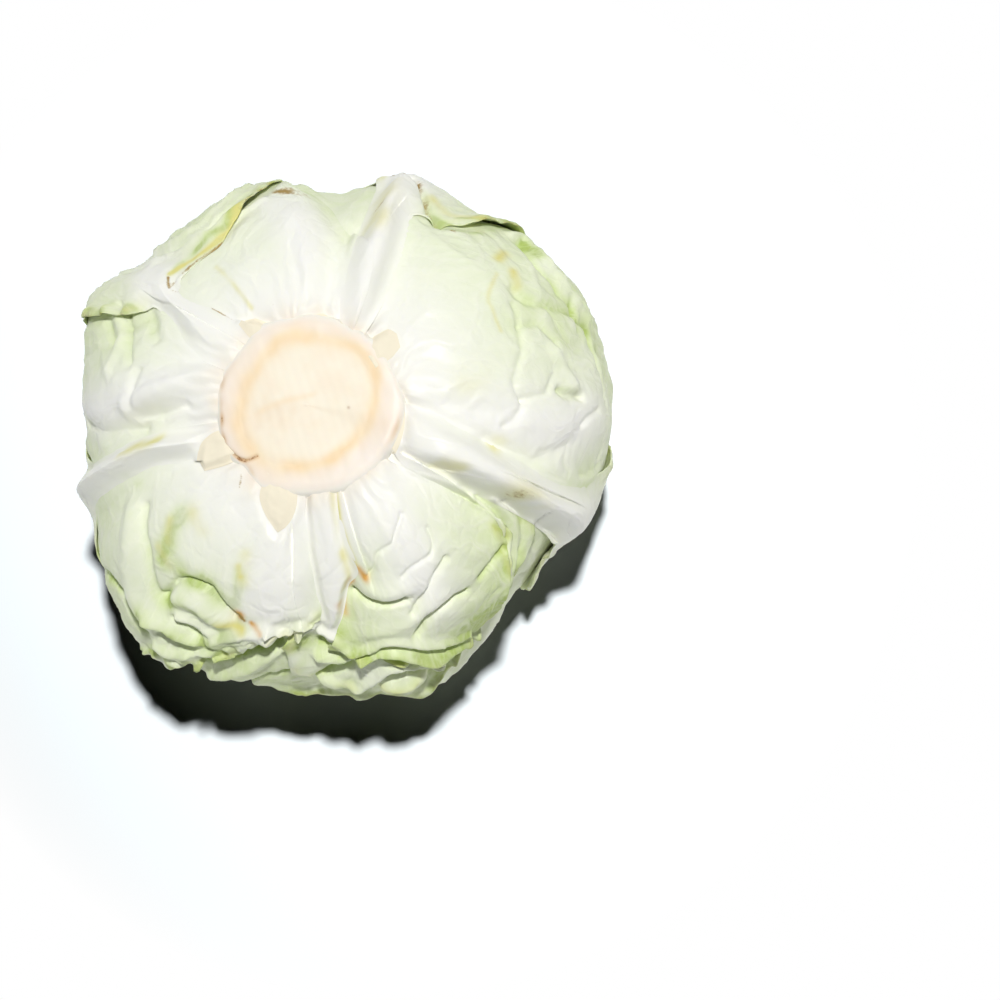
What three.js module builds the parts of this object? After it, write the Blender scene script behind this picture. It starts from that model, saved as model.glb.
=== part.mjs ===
// Iceberg lettuce head, built as a stem butt, torn leaf bases, leaves and a heart.
// Millimetres, +Z up. The head rests on its crown, with the cut stem on top.
//
// Directions are seen from the middle of the head. The clock angle turns clockwise from +Y,
// seen from the stem end, and the fall angle runs from the stem (0) down to the crown (180).
import * as THREE from 'three';

// ---- driving dimensions -------------------------------------------------------------------
const HEAD = {
  middleHeight: 72,
  halfWidth: 81,
  riseToStem: 66,
  dropToCrown: 76,
  squareness: 2.3,
  stemDimple: 5,
  stemDimpleSpread: 20,
  restBlend: 1.2,
};
const LEAF = {
  thickness: 1.0,
  clearance: 1.1,
  edgeCover: 6,
  edgeCoverPerLayer: 0.6,
  edgeRise: 20,
  meanRadius: 76,
  outlineStep: 3,
};
const STEM = {
  rimFall: 19.6,
  rise: 2.2,
  plugDepth: 12,
  rings: 5,
  segments: 30,
};

// Swellings (positive) and valleys (negative) of the head between and under its leaves:
// fall and clock angle of the middle, height in mm, spread in degrees along and across.
const LOBES = [
  { fall: 88, clock: 57, height: 4.2, along: 26, across: 22 },
  { fall: 100, clock: 131, height: -8.5, along: 30, across: 17 },
  { fall: 97, clock: 162, height: 3.5, along: 25, across: 10 },
  { fall: 82, clock: 228, height: 10.5, along: 26, across: 21 },
  { fall: 76, clock: 299, height: 6.0, along: 14, across: 10 },
  { fall: 76, clock: 340, height: 2.0, along: 20, across: 16 },
  { fall: 66, clock: 3, height: -4.0, along: 14, across: 8 },
  { fall: 45, clock: 9, height: -2.6, along: 20, across: 6 },
  { fall: 52, clock: 124, height: -2.6, along: 24, across: 7 },
  { fall: 56, clock: 250, height: -2.6, along: 26, across: 7 },
  { fall: 46, clock: 172, height: -3.4, along: 18, across: 8 },
  { fall: 55, clock: 60, height: 2.4, along: 22, across: 24 },
  { fall: 50, clock: 146, height: 2.2, along: 16, across: 14 },
  { fall: 46, clock: 213, height: 2.2, along: 18, across: 20 },
  { fall: 50, clock: 285, height: 1.6, along: 20, across: 12 },
  { fall: 88, clock: 148, height: -4.2, along: 22, across: 12 },
  { fall: 86, clock: 183, height: -3.2, along: 22, across: 13 },
  { fall: 82, clock: 233, height: -2.6, along: 20, across: 7 },
  { fall: 80, clock: 294, height: 3.2, along: 20, across: 12 },
  { fall: 82, clock: 1, height: -2.6, along: 22, across: 7 },
  { fall: 82, clock: 33, height: -2.6, along: 20, across: 6 },
  { fall: 84, clock: 92, height: 1.6, along: 26, across: 14 },
  { fall: 96, clock: 121, height: -2.4, along: 22, across: 7 },
];

// Leaves and torn bases from the outermost inwards. A row gives fall and clock angle (from
// the leaf's own clock) of the left margin, the rib and the right margin.
const PIECES = [
  {
    name: 'leaf_stub_at_7', clock: 197, rise: 1.4, color: 0xf6e6c4, grid: [4, 4],
    rows: [
      [20, -10, 20, 2, 20, 14], [25, -10.5, 25.5, 0, 25, 12], [28.5, -9, 29, -1, 28.5, 6],
      [31, -6, 32.3, -3, 31, 0],
    ],
  },
  {
    name: 'leaf_stub_at_8', clock: 243, rise: 1.0, color: 0xeedcba, grid: [4, 4],
    rows: [
      [20, -10, 20, -1, 20, 10], [25, -8, 25.5, 1, 24.5, 13], [29, -5, 30, 3, 29, 10],
      [31.5, -3, 32, 2, 31, 6],
    ],
  },
  {
    name: 'leaf_stub_at_2', clock: 53, rise: 1.5, color: 0xf4dfae, grid: [3, 4],
    rows: [
      [20, -10, 20, 0, 20, 10], [24, -9, 24.5, 0, 24, 9], [28, -6, 28.6, -1, 27.5, 6],
    ],
  },
  {
    name: 'leaf_stub_at_11', clock: 330, rise: 1.5, color: 0xf4dcb0, grid: [3, 4],
    rows: [
      [20, -9, 20, 0, 20, 9], [24, -10, 24.5, -3, 24, 5], [28, -10, 28.6, -6, 27.5, -1],
    ],
  },
  {
    name: 'leaf_stub_at_3', clock: 100, rise: 1.1, color: 0xf6e2c4, grid: [3, 5],
    rows: [
      [20, -18, 20, 2, 20, 20], [23.2, -17, 23.8, 2, 24, 21], [24.6, -12, 25.6, 4, 26, 20],
    ],
  },
  {
    name: 'leaf_stub_at_12', clock: 358, rise: 0.8, color: 0xf6dfbe, grid: [3, 4],
    rows: [
      [20, -8, 20, 6, 20, 30], [22.5, -2, 23.2, 8, 22.8, 26], [23.4, 4, 24.6, 11, 23.8, 20],
    ],
  },
  {
    name: 'outer_leaf_at_10', clock: 308, color: 0xe9eed2, grid: [23, 11],
    rib: { height: 1.2, halfWidth: 8, fadeFall: 70 }, flare: 1.4,
    rows: [
      [20.4, -14, 20.4, 8, 20.4, 27], [28, -14, 28, 4, 28, 15], [36, -11, 36, 1, 36, 8.5],
      [46, -5, 46, 0.5, 46, 4.5], [53, -4, 53, 1, 51, 8], [56.5, -9, 60, 2, 51, 20],
      [64, -12.5, 70, 4, 55, 28], [72, -14, 80, 4, 63, 36], [84, -15, 92, 3, 78, 41],
      [100, -20, 108, 2, 98, 41], [130, -30, 134, 0, 130, 40], [160, -36, 162, 0, 160, 38],
      [184, -30, 186, 0, 184, 30], [198, -18, 200, 0, 198, 18],
    ],
  },
  {
    name: 'outer_leaf_at_1', clock: 20, color: 0xf2f2e2, grid: [19, 9],
    rib: { height: 3.8, halfWidth: 10, fadeFall: 112 }, flare: 1.2,
    rows: [
      [20.4, 4, 20.4, 12, 20.4, 20], [30, -4, 30, 6, 30, 17], [42, -7, 42, 2, 42, 11.5],
      [57, -8, 57, -1, 58, 5], [70, -9, 65, -3, 61, 11], [82, -12, 74, -4, 62.5, 17],
      [90, -20, 86, -4, 76, 22], [104, -28, 104, -4, 104, 27], [124, -26, 126, -3, 124, 24],
      [140, -16, 142, -2, 140, 16], [147, -7, 149, 0, 147, 7],
    ],
  },
  {
    name: 'outer_leaf_at_8', clock: 257, color: 0xf1efd9, grid: [19, 8],
    rib: { height: 3.8, halfWidth: 7.5, fadeFall: 112 }, flare: 0.6,
    rows: [
      [20.4, -21, 20.4, -9, 20.4, 4], [34, -10, 34, -1, 34, 6.5], [45, -5, 45, 0.5, 45, 7],
      [60, -4.5, 60, 0.5, 60, 5.5], [74, -4.5, 74, 1, 74, 6], [86, -12, 86, 1, 86, 12],
      [102, -22, 102, 0, 102, 20], [122, -20, 124, 0, 122, 18], [136, -8, 138, 0, 136, 8],
    ],
  },
  {
    name: 'outer_leaf_at_4', clock: 112, color: 0xdfe0cc, grid: [15, 8],
    rib: { height: 4.6, halfWidth: 9.5, fadeFall: 112 }, flare: 1.0,
    rows: [
      [20.4, -25, 20.4, -12, 20.4, 1], [30, -19, 30, -5, 30, 11], [38, -14, 38, -3, 38, 8],
      [53, -8.5, 53, -0.5, 53, 6], [66, -6, 66, 0.5, 66, 5.5], [78, -8, 78, 1, 78, 6],
      [90, -13, 90, 1, 90, 10], [108, -20, 110, 0, 108, 18], [128, -20, 130, 0, 128, 16],
      [142, -8, 144, 0, 142, 8],
    ],
  },
  {
    name: 'wrapper_leaf_at_5', clock: 148, color: 0xe6ebcd, grid: [15, 10],
    rib: { height: 1.2, halfWidth: 9, fadeFall: 60 }, flare: 1.2,
    rows: [
      [20.4, -30, 20.4, -8, 20.4, 11], [28, -30, 28, -6, 28, 16], [35, -30, 35, -5, 35, 18],
      [44, -29, 44, -2, 43, 16.5], [50, -28, 50, 0, 48, 21.5], [57, -26, 57, 0, 56, 26],
      [66, -20, 66, 2, 63, 31], [75, -14, 76, 3, 67, 25], [84, -9, 85, 4, 71, 13],
    ],
  },
  {
    name: 'wrapper_leaf_at_7', clock: 190, color: 0xe9efd6, grid: [17, 14],
    rib: { height: 1.6, halfWidth: 12, fadeFall: 64 }, flare: 1.2,
    rows: [
      [20.4, -8, 20.4, 4, 20.4, 48], [32, -8, 32, 2, 33, 61], [42, -9.5, 42, 2, 46, 66],
      [49, -10, 50, 3, 60, 67], [53, -10.5, 55, 3.5, 78, 65], [55, -10.5, 60, 3.5, 98, 48],
    ],
  },
  {
    name: 'wrapper_leaf_at_12', clock: 352, color: 0xf3f2de, grid: [12, 9],
    rib: { height: 1.8, halfWidth: 9, fadeFall: 62 }, flare: 1.0,
    rows: [
      [20.4, -36, 20.4, 4, 20.4, 24], [34, -42, 34, 6, 34, 22], [45, -44, 45, 4, 45, 19],
      [54, -46, 54, 0, 54, 14.5], [63, -46, 64, -6, 63, 9], [72, -46, 74, -14, 71, 1],
      [80, -40, 82, -22, 77, -8], [86, -30, 86, -24, 83, -16],
    ],
  },
  {
    name: 'wrapper_leaf_at_9', clock: 283, color: 0xf0f1dd, grid: [15, 9],
    rib: { height: 1.6, halfWidth: 8, fadeFall: 80 }, flare: 0.8,
    rows: [
      [20.4, -24, 20.4, 8, 20.4, 26], [34, -28, 34, 0, 34, 34], [48, -30, 48, -8, 48, 36],
      [62, -30, 62, -10, 62, 36], [76, -28, 76, -8, 76, 34], [92, -26, 92, -4, 92, 30],
      [112, -22, 113, 0, 112, 26], [132, -14, 134, 0, 132, 16], [140, -7, 142, 0, 140, 7],
    ],
  },
  {
    name: 'wrapper_leaf_at_3', clock: 92, color: 0xf6f5e6, grid: [14, 13],
    rib: { height: 1.6, halfWidth: 12, fadeFall: 84 }, flare: 1.0,
    rows: [
      [20.4, -50, 20.4, 0, 20.4, 17], [30, -66, 30, 2, 30, 18], [42, -70, 42, 3, 42, 17],
      [56, -71, 56, 3, 56, 17], [70, -70, 70, 0, 70, 17], [82, -66, 84, -4, 84, 17],
      [96, -54, 98, -10, 98, 15], [106, -36, 108, -10, 107, 8],
    ],
  },
  {
    name: 'outer_leaf_at_6', clock: 174, color: 0xdfe2c4, grid: [11, 8],
    rib: { height: 3.8, halfWidth: 7.5, fadeFall: 74 }, flare: 0.2,
    rows: [
      [20.4, -16, 20.4, -5, 20.4, 16], [35, -13, 35, -1.5, 35, 13], [48, -12, 48, -0.5, 48, 12],
      [56, -10, 56, 0, 56, 10], [60, -8, 61, 0, 60, 8], [63, -4, 64, 0, 63, 5],
    ],
  },
  {
    name: 'inner_leaf_at_5', clock: 152, color: 0xdfe6d2, grid: [11, 10], flare: 0.6,
    rows: [
      [20.4, -26, 20.4, 0, 20.4, 26], [40, -30, 40, 0, 40, 34], [55, -31, 55, 0, 55, 36],
      [64, -30, 64, 2, 64, 38], [72, -22, 73, 4, 73, 38], [79, -13, 80, 6, 78, 34],
      [84, -2, 84, 10, 82, 24],
    ],
  },
  {
    name: 'inner_leaf_at_6', clock: 168, color: 0xdfe6d6, grid: [14, 16], flare: 0.6,
    rows: [
      [20.4, -30, 20.4, 0, 20.4, 30], [42, -54, 42, 0, 42, 54], [58, -58, 58, 0, 58, 64],
      [70, -51, 70, 0, 70, 62], [79, -42, 80, 4, 80, 58], [87, -31, 88, 6, 87, 48],
      [94, -14, 95, 8, 93, 32],
    ],
  },
  {
    name: 'inner_leaf_at_4', clock: 140, color: 0xdfe6da, grid: [15, 10], flare: 0.4,
    rows: [
      [20.4, -26, 20.4, 0, 20.4, 26], [44, -32, 44, 0, 44, 36], [62, -30, 62, 0, 62, 42],
      [76, -26, 76, 0, 76, 46], [90, -24, 90, 2, 90, 46], [104, -24, 105, 4, 104, 42],
      [122, -20, 123, 4, 122, 36], [140, -8, 142, 4, 140, 20],
    ],
  },
  {
    name: 'inner_leaf_at_8', clock: 232, color: 0xe4ead6, grid: [15, 10], flare: 0.4,
    rows: [
      [20.4, -26, 20.4, 0, 20.4, 26], [42, -36, 42, 0, 42, 32], [58, -38, 58, 0, 58, 34],
      [72, -38, 72, 0, 72, 32], [88, -36, 88, 0, 88, 30], [106, -32, 106, 0, 106, 28],
      [126, -24, 127, 0, 126, 22], [144, -12, 146, 0, 144, 12],
    ],
  },
  {
    name: 'inner_leaf_at_3', clock: 80, color: 0xe2e8dc, grid: [16, 11], flare: 0.3,
    rows: [
      [20.4, -30, 20.4, 0, 20.4, 34], [45, -42, 45, 0, 45, 40], [65, -50, 65, 0, 65, 46],
      [90, -52, 90, 0, 90, 48], [120, -46, 120, 0, 120, 44], [150, -34, 150, 0, 150, 34],
      [172, -14, 174, 0, 172, 14],
    ],
  },
  {
    name: 'inner_leaf_at_1', clock: 5, color: 0xe0e6e0, grid: [16, 11], flare: 0.3,
    rows: [
      [20.4, -34, 20.4, 0, 20.4, 34], [45, -36, 45, 0, 45, 36], [60, -42, 60, 0, 60, 40],
      [75, -46, 75, 0, 75, 44], [95, -46, 96, 0, 95, 44], [120, -40, 121, 0, 120, 38],
      [148, -28, 150, 0, 148, 28], [168, -12, 170, 0, 168, 12],
    ],
  },
];
const HEART = { color: 0xe9eed8, rows: 18, segments: 28, clearance: 0.8 };
const STEM_BUTT = { name: 'stem_butt', color: 0xf8e6c8 };

// ---- small helpers ------------------------------------------------------------------------
const radians = (degrees) => (degrees * Math.PI) / 180;
const degrees = (angle) => (angle * 180) / Math.PI;
const clamp = (value, low, high) => Math.min(Math.max(value, low), high);
const mix = (a, b, t) => a + (b - a) * t;
const turnBetween = (a, b) => ((((a - b + 180) % 360) + 360) % 360) - 180;
const bell = (x, spread) => Math.exp(-((x / spread) ** 2));

function smoothStep(x) {
  const t = clamp(x, 0, 1);
  return t * t * (3 - 2 * t);
}

// Value at x on the smooth curve through values at 0, 1, 2 ... whose slopes never overshoot.
function alongStations(values, x) {
  const last = values.length - 1;
  const i = Math.min(Math.floor(x), last - 1);
  const t = x - i;
  const slopeAt = (k) => {
    if (k === 0) return values[1] - values[0];
    if (k === last) return values[last] - values[last - 1];
    const before = values[k] - values[k - 1];
    const after = values[k + 1] - values[k];
    return before * after <= 0 ? 0 : (2 * before * after) / (before + after);
  };
  const t2 = t * t;
  const t3 = t2 * t;
  return (
    values[i] * (2 * t3 - 3 * t2 + 1) + slopeAt(i) * (t3 - 2 * t2 + t) +
    values[i + 1] * (3 * t2 - 2 * t3) + slopeAt(i + 1) * (t3 - t2)
  );
}

// ---- directions ---------------------------------------------------------------------------
function headDirection(fall, clock) {
  const f = radians(fall);
  const c = radians(clock);
  return new THREE.Vector3(Math.sin(f) * Math.sin(c), Math.sin(f) * Math.cos(c), Math.cos(f));
}

// A leaf fans out from the stem down to the equator, where its across angle is a clock angle.
// Past the equator it keeps its width and wraps over the crown along its rib.
function leafDirection(clock, fall, across) {
  if (fall <= 90) return headDirection(fall, clock + across);
  const c = radians(clock);
  const f = radians(fall);
  const a = radians(across);
  const outward = Math.cos(a) * Math.sin(f);
  return new THREE.Vector3(
    outward * Math.sin(c) + Math.sin(a) * Math.cos(c),
    outward * Math.cos(c) - Math.sin(a) * Math.sin(c),
    Math.cos(a) * Math.cos(f),
  );
}

// The fall and across angles of a direction, in one leaf's own terms.
function leafAngles(clock, direction) {
  const c = radians(clock);
  if (direction.z >= 0) {
    const turn = degrees(Math.atan2(direction.x, direction.y));
    return { fall: degrees(Math.acos(Math.min(direction.z, 1))), across: turnBetween(turn, clock) };
  }
  const outward = direction.x * Math.sin(c) + direction.y * Math.cos(c);
  const sideways = direction.x * Math.cos(c) - direction.y * Math.sin(c);
  const fall = degrees(Math.atan2(outward, direction.z));
  return { fall: fall < 0 ? fall + 360 : fall, across: degrees(Math.asin(clamp(sideways, -1, 1))) };
}

// ---- the outside of the head --------------------------------------------------------------
// Distance from the middle of the head to its outside: a squarish ellipsoid with a dimple at
// the stem and lobes, cut flat at the height it rests on.
function outsideRadius(direction) {
  const fall = degrees(Math.acos(clamp(direction.z, -1, 1)));
  const clock = degrees(Math.atan2(direction.x, direction.y));
  const wide = Math.sin(radians(fall)) / HEAD.halfWidth;
  const high = Math.abs(direction.z) / (direction.z > 0 ? HEAD.riseToStem : HEAD.dropToCrown);
  let radius = (wide ** HEAD.squareness + high ** HEAD.squareness) ** (-1 / HEAD.squareness);
  radius -= HEAD.stemDimple * bell(fall, HEAD.stemDimpleSpread);
  for (const lobe of LOBES) {
    const along = bell(fall - lobe.fall, lobe.along);
    radius += lobe.height * along * bell(turnBetween(clock, lobe.clock), lobe.across);
  }
  return direction.z < 0 ? roundedMinimum(radius, -HEAD.middleHeight / direction.z) : radius;
}

// The smaller of two lengths, rounded where they are within the rest blend of each other.
function roundedMinimum(a, b) {
  const overlap = Math.max(HEAD.restBlend - Math.abs(a - b), 0) / HEAD.restBlend;
  return Math.min(a, b) - (overlap * overlap * HEAD.restBlend) / 4;
}

// ---- outlines and layering ----------------------------------------------------------------
function marginPoint(piece, station, side) {
  const column = { left: 0, rib: 2, right: 4 }[side];
  return {
    fall: alongStations(piece.rows.map((row) => row[column]), station),
    across: alongStations(piece.rows.map((row) => row[column + 1]), station),
  };
}

// A point of a leaf: station 0 at its base, sideways from -1 (left margin) to 1 (right).
function leafPoint(piece, station, sideways) {
  const rib = marginPoint(piece, station, 'rib');
  const margin = marginPoint(piece, station, sideways < 0 ? 'left' : 'right');
  const reach = Math.abs(sideways);
  return { fall: mix(rib.fall, margin.fall, reach), across: mix(rib.across, margin.across, reach) };
}

function traceOutline(piece) {
  const last = piece.rows.length - 1;
  const perStation = 6;
  const corners = [];
  const add = (station, sideways) => corners.push(leafPoint(piece, station, sideways));
  for (let i = 0; i < last * perStation; i += 1) add(i / perStation, -1);
  for (let i = 0; i < perStation * 2; i += 1) add(last, i / perStation - 1);
  for (let i = last * perStation; i > 0; i -= 1) add(i / perStation, 1);
  for (let i = 0; i < perStation * 2; i += 1) add(0, 1 - i / perStation);
  return corners;
}

// The outline as directions no further apart than the outline step.
function outlineDirections(piece, corners) {
  const directions = [];
  corners.forEach((corner, i) => {
    const start = leafDirection(piece.clock, corner.fall, corner.across);
    const next = corners[(i + 1) % corners.length];
    const end = leafDirection(piece.clock, next.fall, next.across);
    const steps = Math.ceil((start.distanceTo(end) * LEAF.meanRadius) / LEAF.outlineStep);
    for (let k = 0; k < steps; k += 1) directions.push(start.clone().lerp(end, k / steps).normalize());
  });
  return directions;
}

function isInside(corners, point) {
  let inside = false;
  for (let i = 0, j = corners.length - 1; i < corners.length; j = i, i += 1) {
    const a = corners[i];
    const b = corners[j];
    if (a.fall > point.fall === b.fall > point.fall) continue;
    const crossing = a.across + ((b.across - a.across) * (point.fall - a.fall)) / (b.fall - a.fall);
    if (point.across < crossing) inside = !inside;
  }
  return inside;
}

// How much of its room a piece takes in a direction: 1 under it and just past its margin,
// then smoothly down to 0, further out for each layer between.
function coverOf(piece, direction, layersBetween) {
  if (isInside(piece.corners, leafAngles(piece.clock, direction))) return 1;
  let nearest = Infinity;
  for (const point of piece.outline) nearest = Math.min(nearest, point.distanceToSquared(direction));
  const distance = Math.sqrt(nearest) * LEAF.meanRadius;
  const flatEdge = LEAF.edgeCover + LEAF.edgeCoverPerLayer * layersBetween;
  return 1 - smoothStep((distance - flatEdge) / LEAF.edgeRise);
}

// How deep the pieces above press a surface in, and how much of it they leave open.
function pressedBy(above, direction) {
  let depth = 0;
  let open = 1;
  above.forEach((piece, i) => {
    const cover = piece.cover(direction, above.length - 1 - i);
    depth += cover * (piece.thickness + LEAF.clearance);
    open *= 1 - cover;
  });
  return { depth, open };
}

// ---- meshes -------------------------------------------------------------------------------
function namedMesh(name, color, positions, triangles) {
  const geometry = new THREE.BufferGeometry();
  geometry.setAttribute('position', new THREE.Float32BufferAttribute(positions, 3));
  geometry.setIndex(triangles);
  geometry.computeVertexNormals();
  const material = new THREE.MeshStandardMaterial({ color, roughness: 0.5, metalness: 0 });
  const mesh = new THREE.Mesh(geometry, material);
  mesh.name = name;
  return mesh;
}

function placeAt(positions, direction, radius) {
  positions.push(direction.x * radius, direction.y * radius, HEAD.middleHeight + direction.z * radius);
}

// A closed shell between an outer and an inner sheet of (rows + 1) x (columns + 1) points.
function shellTriangles(rows, columns) {
  const sheet = (rows + 1) * (columns + 1);
  const at = (row, column) => row * (columns + 1) + column;
  const triangles = [];
  for (let r = 0; r < rows; r += 1) {
    for (let c = 0; c < columns; c += 1) {
      const [a, b, d, e] = [at(r, c), at(r, c + 1), at(r + 1, c), at(r + 1, c + 1)];
      triangles.push(a, b, d, b, e, d);
      triangles.push(a + sheet, d + sheet, b + sheet, b + sheet, d + sheet, e + sheet);
    }
  }
  const rim = [];
  for (let c = 0; c < columns; c += 1) rim.push(at(0, c));
  for (let r = 0; r < rows; r += 1) rim.push(at(r, columns));
  for (let c = columns; c > 0; c -= 1) rim.push(at(rows, c));
  for (let r = rows; r > 0; r -= 1) rim.push(at(r, 0));
  rim.forEach((from, i) => {
    const to = rim[(i + 1) % rim.length];
    triangles.push(from, from + sheet, to, to, from + sheet, to + sheet);
  });
  return triangles;
}

// Columns lie closer together beside a rib ridge than at the margins.
function sidewaysOf(piece, column) {
  const t = (2 * column) / piece.grid[1] - 1;
  return Math.sign(t) * Math.abs(t) ** (piece.rib ? 1.25 : 1);
}

// Height of the rib ridge over the blade, fading towards the leaf's tip.
function ribHeight(rib, fall, offset) {
  if (!rib) return 0;
  const fade = 1 - smoothStep((fall - rib.fadeFall * 0.6) / (rib.fadeFall * 0.4));
  return rib.height * fade * bell(offset, rib.halfWidth * 0.75);
}

function buildLeaf(piece, above) {
  const [rows, columns] = piece.grid;
  const outer = [];
  const inner = [];
  for (let r = 0; r <= rows; r += 1) {
    const station = (r / rows) * (piece.rows.length - 1);
    const rib = marginPoint(piece, station, 'rib');
    const ribDirection = leafDirection(piece.clock, rib.fall, rib.across);
    for (let c = 0; c <= columns; c += 1) {
      const sideways = sidewaysOf(piece, c);
      const { fall, across } = leafPoint(piece, station, sideways);
      const direction = leafDirection(piece.clock, fall, across);
      const { depth, open } = pressedBy(above, direction);
      const offset = direction.distanceTo(ribDirection) * LEAF.meanRadius;
      const flare = (piece.flare ?? 0) * Math.abs(sideways) ** 4 * smoothStep((fall - 40) / 30);
      const lift = flare * open * (1 - smoothStep((fall - 120) / 30));
      const radius = outsideRadius(direction) - depth + lift;
      const ridge = (piece.rise ?? 0) * stubCrown(r / rows, sideways) + ribHeight(piece.rib, fall, offset);
      placeAt(outer, direction, radius + ridge * open);
      placeAt(inner, direction, radius - piece.thickness);
    }
  }
  return namedMesh(piece.name, piece.color, outer.concat(inner), shellTriangles(rows, columns));
}

// A torn base is full at its middle and thins out to its tip and sides.
function stubCrown(along, sideways) {
  return (1 - along ** 3 * 0.6) * (1 - sideways * sideways * 0.75);
}

// A closed ball of rings from the top pole to the bottom pole.
function ballTriangles(rings, segments) {
  const triangles = [];
  const top = rings * segments;
  const bottom = top + 1;
  const at = (ring, segment) => ring * segments + (segment % segments);
  for (let s = 0; s < segments; s += 1) {
    triangles.push(top, at(0, s + 1), at(0, s));
    triangles.push(bottom, at(rings - 1, s), at(rings - 1, s + 1));
    for (let r = 0; r < rings - 1; r += 1) {
      triangles.push(at(r, s), at(r, s + 1), at(r + 1, s));
      triangles.push(at(r, s + 1), at(r + 1, s + 1), at(r + 1, s));
    }
  }
  return triangles;
}

function buildStem() {
  const positions = [];
  const rimAt = (clock) => {
    const wave = 0.5 * Math.sin(radians(3 * clock + 40)) + 0.35 * Math.sin(radians(5 * clock + 100));
    return STEM.rimFall - 0.9 + wave;
  };
  const profile = [];
  for (let i = 1; i <= STEM.rings; i += 1) {
    const out = i / STEM.rings;
    profile.push({ out, height: STEM.rise * (1 - 0.85 * smoothStep((out - 0.7) / 0.3)) });
  }
  profile.push({ out: 0.96, height: -STEM.plugDepth * 0.4 }, { out: 0.86, height: -STEM.plugDepth });
  profile.forEach(({ out, height }) => {
    for (let s = 0; s < STEM.segments; s += 1) {
      const clock = (360 * s) / STEM.segments;
      const direction = headDirection(rimAt(clock) * out, clock);
      placeAt(positions, direction, outsideRadius(direction) + height);
    }
  });
  const pole = new THREE.Vector3(0, 0, 1);
  placeAt(positions, pole, outsideRadius(pole) + STEM.rise);
  placeAt(positions, pole, outsideRadius(pole) - STEM.plugDepth);
  const triangles = ballTriangles(profile.length, STEM.segments);
  return namedMesh(STEM_BUTT.name, STEM_BUTT.color, positions, triangles);
}

function buildHeart(above) {
  const positions = [];
  const add = (direction) => {
    const depth = pressedBy(above, direction).depth + HEART.clearance;
    placeAt(positions, direction, outsideRadius(direction) - depth);
  };
  for (let r = 1; r < HEART.rows; r += 1) {
    for (let s = 0; s < HEART.segments; s += 1) {
      add(headDirection((180 * r) / HEART.rows, (360 * s) / HEART.segments));
    }
  }
  add(new THREE.Vector3(0, 0, 1));
  add(new THREE.Vector3(0, 0, -1));
  const triangles = ballTriangles(HEART.rows - 1, HEART.segments);
  return namedMesh('heart', HEART.color, positions, triangles);
}

// ---- assembly -----------------------------------------------------------------------------
const lettuce = new THREE.Group();
lettuce.name = 'iceberg_lettuce';

const stemCover = (direction) => {
  const fall = degrees(Math.acos(clamp(direction.z, -1, 1)));
  return 1 - smoothStep((fall - STEM.rimFall - 1) / 8);
};
const above = [{ thickness: STEM.plugDepth, cover: stemCover }];
lettuce.add(buildStem());

for (const piece of PIECES) {
  piece.thickness = LEAF.thickness;
  piece.corners = traceOutline(piece);
  piece.outline = outlineDirections(piece, piece.corners);
  piece.cover = (direction, layersBetween) => coverOf(piece, direction, layersBetween);
  const pressing = above.slice(1);
  lettuce.add(buildLeaf(piece, pressing));
  above.push(piece);
}
lettuce.add(buildHeart(above));

export default lettuce;
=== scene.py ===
"""An iceberg lettuce that lies on its crown with the cut stem up.

The head has one outside surface. Every leaf is a thin shell that follows it, pressed in
where other leaves lie over it, so the layers never cross. Lengths are in millimetres and
angles in degrees until a mesh is made, which is in metres like the frame.

A direction from the middle of the head has a fall angle, 0 at the stem and 180 at the
crown, and a clock angle, which turns clockwise from +Y seen from the stem end.
"""

import logging
import math
from dataclasses import dataclass, field
from enum import Enum
from typing import Sequence

import bpy
import numpy as np
import numpy.typing as npt
from mathutils import Matrix, Vector


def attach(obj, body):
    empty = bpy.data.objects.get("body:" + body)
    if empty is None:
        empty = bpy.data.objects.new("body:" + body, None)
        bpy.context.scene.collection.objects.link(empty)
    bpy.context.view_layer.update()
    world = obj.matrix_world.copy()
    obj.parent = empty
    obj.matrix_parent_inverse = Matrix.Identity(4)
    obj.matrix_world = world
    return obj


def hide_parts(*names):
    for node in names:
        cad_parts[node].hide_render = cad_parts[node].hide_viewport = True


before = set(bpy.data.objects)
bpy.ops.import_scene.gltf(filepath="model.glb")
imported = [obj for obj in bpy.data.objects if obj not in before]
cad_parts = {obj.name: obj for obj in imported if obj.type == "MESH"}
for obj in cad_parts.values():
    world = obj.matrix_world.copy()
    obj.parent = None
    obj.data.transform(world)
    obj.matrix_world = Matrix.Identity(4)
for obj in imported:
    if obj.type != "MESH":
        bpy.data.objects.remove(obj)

Array = npt.NDArray[np.float64]
Faces = npt.NDArray[np.int32]
Point = tuple[float, float]
Colour = tuple[float, float, float, float]
Piece = bpy.types.Object
Tree = bpy.types.NodeTree
LOG = logging.getLogger("lettuce")

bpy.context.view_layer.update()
MM = 0.001
# Leaves begin at this fall angle, just inside the rim of the cut.
BASE_FALL = 20.4
# A margin that would come loose only here stays pressed down all the way.
NEVER = 300.0
NOISE_WAVES = 14


# ---- numbers along curves ----


def smooth(x: Array) -> Array:
    """0 below 0, 1 above 1 and 3x² - 2x³ between."""
    t = np.clip(x, 0.0, 1.0)
    return t * t * (3.0 - 2.0 * t)


def ramp(x: Array, start: float | Array, over: float) -> Array:
    """A smooth step from 0 at the start to 1 after a stretch."""
    return smooth((x - start) / over)


def bell(x: Array, spread: float | Array) -> Array:
    """A bell curve that is 1 at 0 and 1/e at one spread."""
    return np.exp(-((x / spread) ** 2))


def turn_between(a: Array, b: float | Array) -> Array:
    """The signed turn from b to a, from -180 to 180 degrees."""
    return (a - b + 180.0) % 360.0 - 180.0


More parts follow.
